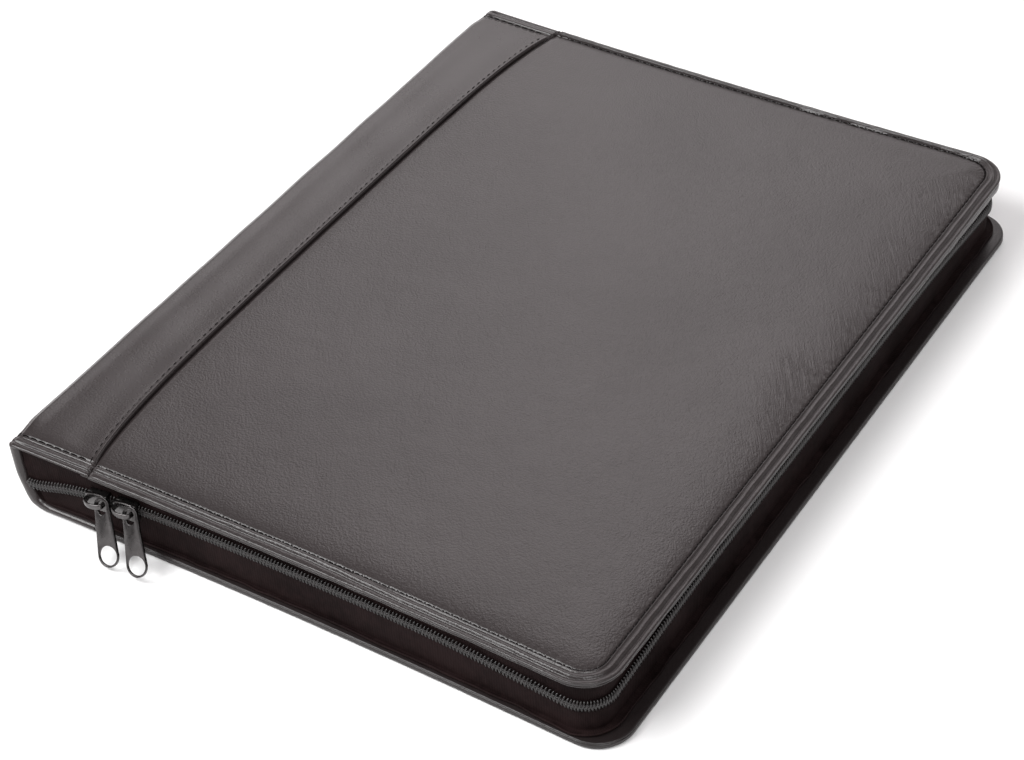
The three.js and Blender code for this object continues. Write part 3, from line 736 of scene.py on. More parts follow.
# Each row: inset on the near side, inset at the open edge, rise, rise at the open edge, width,
# width at the open edge. A groove has a rise below 0.
RIM_FOLDS = (
    (1.7, 0.9, 0.22, -0.05, 0.9, 0.9),
    (3.3, 2.3, -0.9, -0.75, 0.6, 0.55),
    (4.9, 3.7, 0.32, 0.3, 0.8, 0.7),
    (6.2, 5.3, -0.5, -0.65, 0.5, 0.5),
)
RIM_LEVEL = -0.98
PAD_LEVEL = -0.32
RIM_TO_PAD = (5.8, 6.9)


def folded_inset(inset, run, total):
    """On the far side the seam lies close to the edge, so its folds are drawn together there."""
    seam = mix(SEAM, FAR_SEAM, ease(total - CORNER_X - ARC, total - CORNER_X + 12, run))
    return np.where(inset < seam, inset * SEAM / seam, inset - seam + SEAM)


def openness(run, total):
    """0 on the sides near the spine, 1 from the second half of them round the open edge."""
    return ease(135, 200, np.minimum(run, total - run))


def rim_height(inset, run, total):
    """Height of the rim's folds under the plane of the strip's top."""
    share = openness(run, total)
    wander = 0.16 * ripples(run, run * 0, 3, 55) + 0.07 * ripples(run, run * 0, 4, 14)
    height = RIM_LEVEL + 0.05 * ripples(run, inset * 2, 5, 9)
    for near, far, rise, far_rise, width, far_width in RIM_FOLDS:
        middle = mix(near, far, share) + wander
        height = height + mix(rise, far_rise, share) * bump_at(
            inset, middle, mix(width, far_width, share))
    rounded = np.clip(1 - inset / 0.8, 0, 1)
    return height - 0.5 * (1 - np.sqrt(1 - rounded ** 2))


# %% Creases that gather at the open edge
crease_draw = np.random.default_rng(21)
CREASES = np.column_stack([
    np.linspace(20, 334, 46) + crease_draw.uniform(-3, 3, 46),
    crease_draw.uniform(7, 26, 46),
    crease_draw.uniform(0.03, 0.11, 46),
    crease_draw.uniform(0.9, 2.2, 46),
    crease_draw.uniform(-0.35, 0.35, 46),
])


def gathers(x, y, inset):
    """Small folds that run in from the seam of the open edge. The columns of CREASES are the
    place along the edge, the length, the depth, the width and the slant."""
    into = np.maximum(CASE_WIDTH - x - SEAM, 0)
    height = 0
    for at, length, depth, width, slant in CREASES:
        fade = np.exp(-((into / length) ** 2)) * ease(0, 2.5, into)
        height = height - depth * fade * bump_at(y, at + slant * into, width)
    return height * ease(5, 9, inset) * ease(60, 30, into)


# %% Height of the front cover
DIP_AT_SEAM = 1.6
DIP_AT_LAP = 1.2
PUCKER_INSET = 8.6


def front_height(x, y):
    """Height under the plane of the strip's top, over the plan."""
    run = run_at(x, y)
    total = whole_run()
    inset = folded_inset(rim_distance(x, y), run, total)
    past_lap = x - front_lap(y) - GAP
    inside = np.maximum(inset - SEAM, 0)
    from_seam = 0.55 * np.exp(-inside / 5) + 0.45 * np.exp(-inside / 17)
    from_lap = 0.8 * np.exp(-np.maximum(past_lap, 0) / 1.7)
    from_lap = from_lap + 0.2 * np.exp(-np.maximum(past_lap, 0) / 14)
    calm = (1 - from_seam) * (1 - from_lap)
    pad = PAD_LEVEL - np.hypot(DIP_AT_SEAM * from_seam, DIP_AT_LAP * from_lap)
    pad = pad + calm * (0.1 * ripples(x, y, 7, 100) + 0.03 * ripples(x, y, 8, 32))
    pad = pad + 0.018 * calm * ripples(x, y, 9, 14) + gathers(x, y, inset)
    beat = np.cos(2 * math.pi * run / STITCH)
    share = openness(run, total)
    pad = pad - mix(0.05, 0.1, share) * beat * bump_at(inset, PUCKER_INSET, 1.5)
    height = mix(rim_height(inset, run, total), pad, ease(*RIM_TO_PAD, inset))
    height = height - (0.3 + 0.1 * beat) * bump_at(inset, SEAM, 0.5)
    return mix(UNDER_STRIP, height, ease(-0.3, 0.6, past_lap))


sample = front_height(np.array([60.0, 150.0, 263.0]), np.array([175.0, 175.0, 175.0]))
print("front heights:", (CASE_HEIGHT + sample).round(2), "mm")

# %% [markdown]
# ## One mesh for a cover
#
# The cover needs fine cells across the rim, where folds are half a millimetre wide, and coarser
# ones on the field. So the rim is a band of rows along the run, and the field inside is a Coons
# patch: a grid whose four sides are given curves and whose inside is blended from them. Its
# border takes the band's last row of points, so the two are one closed skin with the underside.

# %% Make the mesh of a cover
STATION = 1.3
BAND = 8.2


def cover_mesh(height, start_at, edge_rows, reach=0.0, edge=0.0, station=STATION, across=38):
    """Points, faces and UV of a cover. height gives the top over the plan, start_at the X where
    it starts, and edge_rows the inset and height from its inner underside up to its edge."""
    total = whole_run(reach)
    first = float(start_at(np.array(BAND)))
    straight = CORNER_X + reach
    half_turn = round(ARC / 2 / station)
    near = np.concatenate([
        np.linspace(first, straight, round((straight - first) / station) + 1),
        straight + ARC / 2 * np.arange(1, half_turn + 1) / half_turn])
    turned = straight + ARC / 2 + ARC / 2 * np.arange(1, half_turn + 1) / half_turn
    middle = np.linspace(straight + ARC, total - straight - ARC,
                         round(OPEN_EDGE / station) + 1)[1:]
    opened = np.concatenate([turned, middle, total - turned[::-1][1:], [total - near[-1]]])
    run = np.concatenate([near, opened, total - near[::-1][1:]])
    u_count, v_count = len(near), len(opened) + 1
    tops = np.concatenate([[0, 0.1, 0.25, 0.45], np.linspace(0.65, BAND, across - 4)]) + edge
    insets = np.concatenate([[inset + edge for inset, _ in edge_rows], tops])
    x, y = place(run[:, None], insets[None, :], reach,
                 start_at(side_bow(first) + insets)[None, :], first)
    z = height(x, y)
    for column, (_, level) in enumerate(edge_rows):
        z[:, column] = np.minimum(level, z[:, -1] - 0.3)
    lines, columns = x.shape
    band = np.stack([x, y, z], -1)
    border = np.arange(lines) * columns + columns - 1

    u = np.linspace(0, 1, u_count)[:, None, None]
    v = np.linspace(0, 1, v_count)[None, :, None]
    side = band[:, -1, :2]
    near_line, far_line = side[:u_count][:, None], side[::-1][:u_count][:, None]
    open_line = side[u_count - 1:u_count - 1 + v_count][None]
    left_y = mix(near_line[0, 0, 1], far_line[0, 0, 1], v[0, :, 0])
    left_line = np.stack([start_at(left_y), left_y], -1)[None]
    left_line[0, 0], left_line[0, -1] = near_line[0, 0], far_line[0, 0]
    patch = (1 - v) * near_line + v * far_line + (1 - u) * left_line + u * open_line
    patch = patch - ((1 - u) * (1 - v) * near_line[0] + u * (1 - v) * near_line[-1]
                     + (1 - u) * v * far_line[0] + u * v * far_line[-1])
    field = np.concatenate([patch, height(patch[..., 0], patch[..., 1])[..., None]], -1)

    index = np.full((u_count, v_count), -1)
    index[:, 0] = border[:u_count]
    index[-1, :] = border[u_count - 1:u_count - 1 + v_count]
    index[:, -1] = border[::-1][:u_count]
    own = index < 0
    index[own] = lines * columns + np.arange(own.sum())
    lower = field[0, 1:-1].copy()
    lower[:, 2] = edge_rows[0][1]
    lower_index = lines * columns + own.sum() + np.arange(len(lower))
    points = np.concatenate([band.reshape(-1, 3), field[own], lower])

    faces = lattice(lines, columns).tolist()
    corners = lattice(u_count, v_count)
    faces += index.ravel()[corners].tolist()
    bottom = np.concatenate([[0], lower_index, [(lines - 1) * columns]])
    faces += [[index[0, k], index[0, k + 1], bottom[k + 1], bottom[k]]
              for k in range(v_count - 1)]
    faces.append(list(range(columns)))
    faces.append(list(range((lines - 1) * columns, lines * columns)))
    faces.append(list(np.arange(lines) * columns) + list(lower_index[::-1]))
    run_of = run_at(points[:, 0], points[:, 1], reach)
    inset_of = rim_distance(points[:, 0], points[:, 1], reach) - edge
    uv = np.stack([run_of, inset_of if edge else folded_inset(inset_of, run_of, total)], -1)
    return points, faces, uv


# %% Build the front cover
def front_start(y):
    return front_lap(y) + GAP - TUCKED


FRONT_EDGE = ((8.5, -4.6), (8.25, -4.3), (8.2, -2.3), (0.35, -2.3), (0.05, -2.15), (0.0, -1.9))
points, faces, uv = cover_mesh(front_height, front_start, FRONT_EDGE)
points[:, 2] += CASE_HEIGHT
front_cover = build("front_cover", points, faces, FRONT_LEATHER, uv=uv, sharp=70,
                    replaced=["front_panel"])
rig.slot(front_cover, "front_leather")
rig.padded(front_cover, fill=0.45)

# %% [markdown]
# ## The back cover
#
# The back cover is the same board and leather, but the case lies on it, so its padding is
# pressed flat on the table. Its edge shows two layers, a thin turned lining over the broader
# turned leather, with a groove between them. It stands out past the front cover at the open edge.

# %% Build the back cover
BACK_REACH = 4.7
BACK_EDGE_INSET = 0.8
LAP_UNDER = 36.0


def back_start(y):
    return LAP_UNDER + GAP + 0 * y


def back_height(x, y):
    """How far the outer face lies in from the plane that it rests on, below 0."""
    inset = rim_distance(x, y, BACK_REACH) - BACK_EDGE_INSET
    run = run_at(x, y, BACK_REACH)
    total = whole_run(BACK_REACH)
    pad = -0.85 * np.exp(-np.maximum(inset - SEAM, 0) / 4.0)
    rim = rim_height(inset, run, total) - RIM_LEVEL - 0.35
    height = mix(rim, pad, ease(*RIM_TO_PAD, inset))
    height = height - 0.25 * bump_at(inset, SEAM, 0.5)
    past_lap = x - LAP_UNDER - GAP
    return np.minimum(height, -0.05) - 0.5 * np.exp(-np.maximum(past_lap, 0) / 3)


BACK_EDGE = ((8.6, -3.3), (4.2, -3.3), (0.9, -3.3), (0.45, -3.28), (0.16, -3.15), (0.05, -2.95),
             (0.1, -2.72), (0.5, -2.52), (0.12, -2.34), (-0.02, -2.1), (0.0, -1.5),
             (0.02, -1.05))
points, faces, uv = cover_mesh(back_height, back_start, BACK_EDGE, BACK_REACH, BACK_EDGE_INSET,
                               station=1.9, across=26)
points[:, 2] *= -1
back_cover = build("back_cover", points, faces, BACK_LEATHER_DARKENED_FOR_SHADE, uv=uv, sharp=70,
                   replaced=["back_panel"])
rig.slot(back_cover, "back_leather")
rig.padded(back_cover, fill=0.15)

# %% [markdown]
# ## The spine
#
# The spine is one broad strip of leather, folded to a C and sewn over both covers. Between its
# ends it is thin; at each end it is turned in and thick, with a rounded edge. It is a loft: at
# each step along the case there is an outer outline and an inner one, and near the ends both
# draw towards each other on a quarter circle, which rounds the edge.

# %% Outline of the spine
SPINE_TOP_RADIUS = 2.2
SPINE_SWELL = 0.9
SPINE_FACE = ((0.84, 0), (0.66, 0.004), (0.49, 0.014), (0.3, 0.055), (0.14, 0.1),
              (0.05, 0.158), (0, 0.3))
LAP_ROWS = ((0, 1.15), (0.03, 0.7), (0.2, 0.3), (0.5, 0.06), (0.9, -0.05), (1.4, 0.0),
            (1.8, 0.05), (2.1, 0.07), (2.4, 0.05), (2.9, 0.02), (3.6, 0.0))


def through(rows, steps):
    """A smooth line through points, as a spline with as many even steps."""
    rows = np.asarray(rows, float)
    padded = np.vstack([rows[0], rows, rows[-1]])
    at = np.linspace(0, len(rows) - 1, steps + 1)
    k = np.minimum(at.astype(int), len(rows) - 2)
    t = (at - k)[:, None]
    a, b, c, d = (padded[k + i] for i in range(4))
    return 0.5 * (2 * b + (c - a) * t + (2 * a - 5 * b + 4 * c - d) * t ** 2
                  + (3 * b - a - 3 * c + d) * t ** 3)


def spine_outline(reach_over, reach_under, top_in, side_in, bottom_in, edge=1.0):
    """X and Z from the lap on the front, over the face, to the lap on the back."""
    top = CASE_HEIGHT - top_in
    radius = max(SPINE_TOP_RADIUS - side_in / 2, 0.6)
    lap = [(reach_over - back, top - drop * edge) for back, drop in LAP_ROWS]
    flat = [(x, top) for x in np.linspace(reach_over - 5, side_in + radius, 12)]
    turn = np.linspace(0, math.pi / 2, 9)[1:]
    corner = np.column_stack([side_in + radius * (1 - np.sin(turn)),
                              top - radius * (1 - np.cos(turn))])
    face = through([(side_in + lean * CASE_HEIGHT, bottom_in + h * (top - bottom_in))
                    for h, lean in SPINE_FACE], 26)
    face[:, 1] = np.maximum(face[:, 1], bottom_in)
    under = [(x, bottom_in) for x in np.linspace(face[-1, 0] + 3, reach_under, 8)]
    return np.vstack([lap, flat, corner, face, under])


def strip_crown(x, along):
    """The strip rises from the shoulder, sinks a little, and rises again over the lap."""
    from_end = np.minimum(along, CASE_LENGTH - along)
    rise = -0.75 * np.exp(-x / 4.5) - 0.3 * bump_at(x, front_lap(along) - 10, 7)
    return rise * ease(2, 16, from_end) - 0.8 * np.exp(-np.maximum(from_end - 6, 0) / 7)


print("spine outline:", len(spine_outline(30, 36, 0, 0, 0)), "points")

# %% Build the spine
TURNED_END = 4.7
END_ROUND = 2.1
END_LEAN = 0.8
OUTER = (0, 0, 0)
TURNED = (2.1, 4.6, 3.3)
WALLED = (1.8, 2.1, 1.8)

end_rows = np.concatenate([[0, 0.04, 0.14, 0.3, 0.5, 0.75, 1.05], np.arange(1.3, 8.6, 0.26),
                           np.arange(9, 17, 1.0)])
middle_rows = np.arange(17.5, CASE_LENGTH - 17, 2.6)
along_rows = np.concatenate([end_rows, middle_rows, CASE_LENGTH - end_rows[::-1]])

rings = []
for along in along_rows:
    from_end = min(along, CASE_LENGTH - along)
    reach = float(front_lap(along))
    outer = spine_outline(reach, LAP_UNDER, *OUTER)
    share = float(ease(TURNED_END - 0.4, TURNED_END + 1.2, from_end))
    inner = spine_outline(reach, LAP_UNDER, *(mix(a, b, share) for a, b in zip(TURNED, WALLED)),
                          edge=0.0)
    tangent = np.gradient(outer, axis=0)
    outward = np.column_stack([tangent[:, 1], -tangent[:, 0]])
    outward /= np.linalg.norm(outward, axis=1)[:, None] + 1e-9
    x, z = outer[:, 0], outer[:, 1]
    on_top = ease(CASE_HEIGHT - 3.5, CASE_HEIGHT - 0.8, z) * ease(1.0, 6.0, x)
    swell = SPINE_SWELL * float(ease(8, 17, from_end)) * (1 - on_top) * ease(0.2, 5, z)
    folds = float(rim_height(np.array(from_end), np.array(along + 900.0), 1e5)) - RIM_LEVEL
    folds = folds - 0.45 * float(bump_at(from_end, SEAM, 0.55))
    folds = min(folds, 0.05) if from_end < 8 else 0.0
    sewn = 0.35 + 0.65 * on_top
    uneven = 0.1 * ripples(x, along, 31, 34) * ease(8, 20, from_end)
    moved = (folds * sewn - 0.12 + 0.12 * ease(6, 12, from_end) + swell + uneven)
    moved = moved + strip_crown(x, along) * ease(CASE_HEIGHT - 1.6, CASE_HEIGHT - 0.4, z)
    moved = moved * ease(0.05, 1.2, z)
    outer = outer + outward * moved[:, None]
    half = (outer - inner) / 2
    thick = np.linalg.norm(half, axis=1)[:, None] + 1e-9
    rounding = np.minimum(END_ROUND, 0.92 * thick)
    out = np.clip(1 - from_end / END_ROUND, 0, 1)
    shrink = rounding * (1 - math.sqrt(max(1 - out ** 2, 0)))
    outer = outer - half / thick * shrink
    inner = inner + half / thick * shrink
    ring = np.vstack([outer, inner[::-1]])
    off = side_bow(ring[:, 0]) + END_LEAN * (1 - ring[:, 1] / CASE_HEIGHT)
    y = along + off * (1 - 2 * along / CASE_LENGTH)
    rings.append(np.column_stack([ring[:, 0], y, ring[:, 1]]))
rings = np.array(rings)
uv = laid_out(50.0, along_rows[:, None], rings.shape[:2])
rows, across = rings.shape[:2]
half = across // 2
faces = lattice(rows, across, wrap=True).tolist()
for row in (0, rows - 1):
    base = row * across
    faces += [[base + k, base + k + 1, base + across - 2 - k, base + across - 1 - k]
              for k in range(half - 1)]
spine = build("spine", rings, faces, SPINE_LEATHER, uv=uv, sharp=75, replaced=["spine_wrap"])
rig.slot(spine, "spine_leather")

# %% [markdown]
# ## The folded strip under the rim
#
# Under the front cover's rim a thin strip is folded round and sewn in. It is the lower of the
# two ridges that the rim shows, and it hangs a little lower round the far corner.

# %% Build the welt
WELT_DROOP = 2.4
DROOP_SPREAD = 90.0


def stations(start, step):
    """Stations of a strip that starts at this X on both short sides."""
    total = whole_run()
    return np.linspace(start, total - start, round((total - 2 * start) / step) + 1)


def round_the_sides(run, inset, height, start=None):
    """Carry a closed section round the sides, given by inset and height at each station."""
    x, y = place(run[:, None], inset, start=start, first=run[0])
    return np.stack([x, y, np.broadcast_to(height, x.shape)], -1)


run = stations(float(front_lap(3.0)) + GAP, 1.9)
far_end = whole_run() - CORNER_X - ARC
past = np.where(run > far_end, 0, far_end - run)
past = np.where(run < CORNER_X + ARC, 1e3, past)
droop = (WELT_DROOP * np.exp(-((past / DROOP_SPREAD) ** 2)))[:, None]
wave = (0.1 * ripples(run, run * 0, 41, 22) + 0.06 * ripples(run, run * 0, 42, 9))[:, None]
WELT_ROWS = np.array([(7.4, 28.8), (7.4, 30.8), (0.95, 30.8), (0.55, 30.68), (0.32, 30.35),
                      (0.3, 30.1), (0.45, 29.8), (0.85, 29.68), (1.6, 29.72), (2.6, 29.72),
                      (3.1, 29.5), (3.4, 28.8)])
hang = np.array([0, 0, 0, 0, 0.25, 0.7, 1, 1, 1, 1, 0.6, 0.2])[None, :]
rings = round_the_sides(run, WELT_ROWS[None, :, 0] + wave, WELT_ROWS[None, :, 1] - droop * hang)
uv = laid_out(run[:, None], WELT_ROWS[None, :, 0], rings.shape[:2])
welt = build("welt", rings, skin(rings), SPINE_LEATHER, uv=uv, sharp=60,
             replaced=["front_welt"])
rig.slot(welt, "spine_leather")

# %% [markdown]
# ## The zip tape
#
# The gusset is the zip's own woven tape. Its upper half is sewn in under the front cover, its
# lower half stands on the back cover with a folded foot. Both are thin walls carried round the
# sides, between a top and a bottom line. The coil's level sets where they meet: it comes down at
# the spine, dips at the corners, and curls up for its last millimetres.

# %% Level of the zip
TAPE_INSET = 4.2
TAPE_THICKNESS = 1.2
COIL_LEVEL = 21.8
COIL_THICKNESS = 1.7
ZIP_START = 4.9
DROP, DROP_REACH = 15.6, 22
CURL, CURL_REACH = 5, 4
CORNER_DIP, CORNER_DIP_REACH = 4.6, 48


def zip_along(run):
    """How far a station lies from the spine, and from the middle of the nearest corner."""
    along = np.minimum(run, whole_run() - run)
    return np.minimum(along, CORNER_X), np.abs(along - CORNER_X - ARC / 2)


def zip_level(run):
    from_spine, from_corner = zip_along(run)
    return (COIL_LEVEL - DROP * np.exp(-from_spine / DROP_REACH)
            + CURL * np.exp((4.6 - from_spine) / CURL_REACH)
            - CORNER_DIP * bump_at(from_corner, 0, CORNER_DIP_REACH))


def tape_inset(run):
    return TAPE_INSET - 2.2 * np.exp(-zip_along(run)[0] / DROP_REACH)


def inside_spine(height):
    """X where the hollow of the spine starts at a height, between its turned ends."""
    outline = spine_outline(36, 36, *TURNED)[len(LAP_ROWS) + 12:]
    order = np.argsort(outline[:, 1])
    return np.interp(height, outline[order, 1], outline[order, 0]) + GAP


print("zip level:", zip_level(np.array([6.0, 40.0, 130.0, 250.0, 430.0])).round(1), "mm")

# %% Build the two tapes
SEWN_IN = 1.5
FOOT_LEVEL = 3.62


def tape(name, low, high, rows, billow, node, foot=()):
    """A thin wall from a low to a high line, with a foot if it has one."""
    run = stations(ZIP_START, 1.3)
    up = np.linspace(0, 1, rows)[None, :]
    low_line, high_line = low(run)[:, None], high(run)[:, None]
    z = mix(low_line, high_line, up)
    face = tape_inset(run)[:, None] + billow(run[:, None], up)
    inset = np.concatenate([face, face[:, ::-1] + TAPE_THICKNESS], 1)
    height = np.concatenate([z, z[:, ::-1]], 1)
    if foot:
        toe_inset, toe_height = (f(run)[:, None] for f in foot)
        back = np.full_like(toe_inset, FOOT_LEVEL)
        inset = np.concatenate([inset[:, :2 * rows - 1], inset[:, -1:], toe_inset + 0.45,
                                toe_inset + 0.05, toe_inset, toe_inset + 0.12, toe_inset + 0.38,
                                toe_inset + 0.66, toe_inset + 0.85, face[:, :1] - 0.1], 1)
        height = np.concatenate([height[:, :2 * rows - 1], back, back, back + 0.2,
                                 toe_height - 0.4, toe_height - 0.1, toe_height,
                                 toe_height - 0.14, back + 0.5, back + 0.35], 1)
    rings = round_the_sides(run, inset, height, inside_spine(height))
    uv = laid_out(run[:, None], height, height.shape)
    piece = build(name, rings, skin(rings), TAPE, uv=uv, sharp=60, replaced=[node])
    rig.slot(piece, "zip_tape")
    area = sum(p.area for p in piece.data.polygons) / 2
    length = (whole_run() - 2 * ZIP_START) / 1000
    width = area / length + SEWN_IN / 1000
    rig.sheet(piece, flat=(width, length), held="stretched",
             rests_on=["front_cover", "back_cover"])
    print(name, "cut to", round(width, 4), "by", round(length, 3), "m")


def upper_top(run):
    to_panel = ease(15, 30, zip_along(run)[0])
    return mix(CASE_HEIGHT - 2.1 - GAP, CASE_HEIGHT - 4.6 - GAP, to_panel)


def upper_billow(run, up):
    return 0.25 * np.sin(math.pi * up) * ripples(run, up * 6, 51, 26)


def lower_billow(run, up):
    return 0.3 * np.sin(math.pi * up) * ripples(run, up * 8, 52, 34)


def toe_inset(run):
    """The foot's folded edge lies further in on the near side than at the open edge."""
    share = ease(CORNER_X - 30, CORNER_X + ARC, np.minimum(run, whole_run() - run))
    return mix(2.3, 0.7, share) + 0.2 * ripples(run, run * 0, 53, 17)


def toe_height(run):
    return 4.75 + 0.22 * ripples(run, run * 0, 54, 12)


tape("upper_tape", lambda run: zip_level(run) + 0.2, upper_top, 9, upper_billow,
     "zip_tape_upper")
tape("lower_tape", lambda run: 4.2 + 0 * run,
     lambda run: np.maximum(zip_level(run) - 0.2, 5.3), 13, lower_billow, "zip_tape_lower",
     foot=(toe_inset, toe_height))

# %% [markdown]
# ## The coil
#
# A coil zip has two spirals of nylon wire. From outside each loop shows as a short rounded bar,
# and the two rows mesh like fingers in the middle. One loop is a bent bar with a swollen head;
# it is copied along the run by plain arithmetic, half a step apart for the two rows, and each
# row is one mesh.

# %% Copy a small part along a line
def capsule(points, radii, sides=6, flat=1.0):
    """A rounded bar along a few points, with a radius at each. flat squeezes it in Y."""
    points, radii = np.asarray(points, float), np.asarray(radii, float)
    tangent = unit(np.gradient(points, axis=0))
    side = unit(np.cross(tangent, (0, 1, 0)))
    up = np.cross(side, tangent)
    angle = np.arange(sides) * 2 * math.pi / sides
    rings = (points[:, None] + radii[:, None, None] * (
        np.cos(angle)[None, :, None] * side[:, None] + flat * np.sin(angle)[None, :, None]
        * up[:, None]))
    return rings.reshape(-1, 3), skin(rings)


def copies(part, origins, frames):
    """Place a part at each origin, turned by its 3 by 3 frame."""
    points, faces = part
    placed = origins[:, None] + np.einsum("nij,pj->npi", frames, points)
    count = len(points)
    every = [[i + k * count for i in face] for k in range(len(origins)) for face in faces]
    return placed.reshape(-1, 3), every


def gathered(*parts):
    """Several parts as one."""
    points, faces = [], []
    for part_points, part_faces in parts:
        base = sum(len(p) for p in points)
        points.append(part_points)
        faces += [[i + base for i in face] for face in part_faces]
    return np.concatenate(points), faces


def frames_along(run, inset, level):
    """Places on a line along the run, and frames of along, inwards and up."""
    step = 0.4
    x, y = place(run, inset)
    x1, y1 = place(run + step, inset)
    z, z1 = level(run), level(run + step)
    along = unit(np.stack([x1 - x, y1 - y, z1 - z], -1))
    inward = unit(np.cross((0, 0, 1), along))
    return np.stack([x, y, z], -1), np.stack([along, inward, np.cross(along, inward)], -1)


# %% Build the coil
COIL_PITCH = 1.5
LOOP_LEAN = 0.22

loops = []
for row, sign in (("upper", 1), ("lower", -1)):
    loop = capsule(
        [(-sign * 0.1, 0.5, -0.55 * sign), (0, 0.06, -0.42 * sign), (0.02, 0, 0.1 * sign),
         (LOOP_LEAN, 0, 1.1 * sign), (2 * LOOP_LEAN, 0.12, 1.9 * sign),
         (2.3 * LOOP_LEAN, 0.7, 2.2 * sign)],
        [0.38, 0.56, 0.5, 0.44, 0.44, 0.32], sides=7, flat=1.25)
    first = ZIP_START + 0.6 + (0.5 * COIL_PITCH if sign < 0 else 0)
    run = np.arange(first, whole_run() - ZIP_START - 0.6, COIL_PITCH)
    origins, frames = frames_along(run, tape_inset(run) - GAP - COIL_THICKNESS / 2 - 0.12,
                                   zip_level)
    loops.append(copies(loop, origins, frames))
coil = build("coil", *gathered(*loops), NYLON, sharp=80, replaced=["zip_coil"])
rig.slot(coil, "zip_coil")
print("loops in the coil:", len(origins) * 2)

# %% [markdown]
# ## Stitches
#
# Each stitch is a short thread that comes up out of one hole and goes down in the next. It lies
# in the groove of the seam, so only its back shows. The same little bar is copied along the rim,
# along the lap and round both ends of the spine.

# %% Sew the seams
def thread_bar(length, thick):
    """One stitch: a thread that comes up, lies flat and goes down again."""
    half = length / 2
    return capsule([(-half, 0, -0.4), (-half * 0.8, 0, -0.12), (-half * 0.3, 0, 0.05),
                    (half * 0.3, 0, 0.05), (half * 0.8, 0, -0.12), (half, 0, -0.4)],
                   [thick * 0.6, thick, thick, thick, thick, thick * 0.6], sides=6)


def sewn_line(points, up):
    """Frames at points that follow a line, with this way up."""
    along = unit(np.gradient(points, axis=0))
    across = unit(np.cross(up, along))
    return np.stack([along, across, np.cross(along, across)], -1)


LAP_STITCH = 4.0
LAP_SEAM = 2.1
RIM_THREAD, LAP_THREAD, END_THREAD = (2.0, 0.34), (2.4, 0.13), (3.0, 0.24)

seams = []
first_stitch = math.ceil((front_lap(8.0) + 1.5) / STITCH)
run = (np.arange(first_stitch, int(whole_run() / STITCH) - first_stitch) + 0.5) * STITCH
far = ease(whole_run() - CORNER_X - ARC, whole_run() - CORNER_X + 12, run)
x, y = place(run, mix(SEAM, FAR_SEAM, far))
line = np.stack([x, y, CASE_HEIGHT + front_height(x, y) + 0.14], -1)
seams.append(copies(thread_bar(*RIM_THREAD), line, sewn_line(line, (0, 0, 1))))

y = np.arange(9, CASE_LENGTH - 9, LAP_STITCH)
x = front_lap(y) - LAP_SEAM
line = np.stack([x, y, CASE_HEIGHT - 0.02 + strip_crown(x, y)], -1)
seams.append(copies(thread_bar(*LAP_THREAD), line, sewn_line(line, (0, 0, 1))))

for end in (0, 1):
    outline = spine_outline(float(front_lap(SEAM)), LAP_UNDER, *OUTER)
    outline = outline[len(LAP_ROWS):-4]
    gone = np.concatenate([[0], np.cumsum(np.hypot(*np.diff(outline, axis=0).T))])
    at = np.arange(1.5, gone[-1] - 2, STITCH)
    x, z = (np.interp(at, gone, outline[:, k]) for k in (0, 1))
    onward = unit(np.stack([np.gradient(x), np.gradient(z)], -1))
    outward = np.stack([onward[:, 1], 0 * x, -onward[:, 0]], -1)
    depth = np.where(z > CASE_HEIGHT - 1, -0.62, -0.3)[:, None]
    off = side_bow(x) + END_LEAN * (1 - z / CASE_HEIGHT) + SEAM
    line = np.stack([x, CASE_LENGTH - off if end else off, z], -1) + outward * depth
    seams.append(copies(thread_bar(*END_THREAD), line, sewn_line(line, outward)))

stitches = build("stitches", *gathered(*seams), THREAD, sharp=80)
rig.slot(stitches, "spine_leather")

# %% [markdown]
# ## The sliders
#
# A slider is a cast plate with two flanges that hold the coil, and a bail, an arched band that
# the pull hangs on. The plate is an outline filled as a 2D curve: Blender's curves cut the holes
# and round the edges in one go, and the result is turned into a mesh. The bail is a rounded
# section carried along its arch.

# %% Cut rounded plates from outlines
def cut_plate(loops, thickness, rounding):
    """Points and faces of a plate in X and Z, its middle at Y 0, from closed outlines."""
    curve = bpy.data.curves.new("outline", "CURVE")
    curve.dimensions = "2D"
    curve.fill_mode = "BOTH"
    curve.extrude = thickness / 2 - rounding
    curve.bevel_depth = rounding
    curve.bevel_resolution = 2
    curve.offset = -rounding
    for loop in loops:
        spline = curve.splines.new("POLY")
        spline.points.add(len(loop) - 1)
        for point, (x, z) in zip(spline.points, loop):
            point.co = (x, z, 0, 1)
        spline.use_cyclic_u = True
    holder = bpy.data.objects.new("outline", curve)
    bpy.context.scene.collection.objects.link(holder)
    mesh = bpy.data.meshes.new_from_object(holder.evaluated_get(
        bpy.context.evaluated_depsgraph_get()))
    flat = bmesh.new()
    flat.from_mesh(mesh)
    bmesh.ops.remove_doubles(flat, verts=flat.verts, dist=0.002)
    bmesh.ops.dissolve_limit(flat, angle_limit=0.001, verts=flat.verts, edges=flat.edges)
    flat.verts.ensure_lookup_table()
    points = np.array([(v.co.x, -v.co.z, v.co.y) for v in flat.verts])
    faces = [[v.index for v in face.verts] for face in flat.faces]
    flat.free()
    bpy.data.objects.remove(holder)
    bpy.data.meshes.remove(mesh)
    return points, faces


def oval(x, z, wide, high, low=0.0, turn=360.0, steps=36):
    """Points on an oval from one angle through a turn."""
    angle = np.radians(low + np.linspace(0, turn, steps, endpoint=turn < 360))
    return [(x + wide * math.cos(a), z + high * math.sin(a)) for a in angle]


# %% Build the sliders
SLIDER_AT = 42.1
SLIDER_PITCH = 13.4
SLIDER_PLATE = 1.6
BAIL_SPAN = 9.5
BAIL_THICKNESS = 0.95
BAIL_RAISE = 1.7


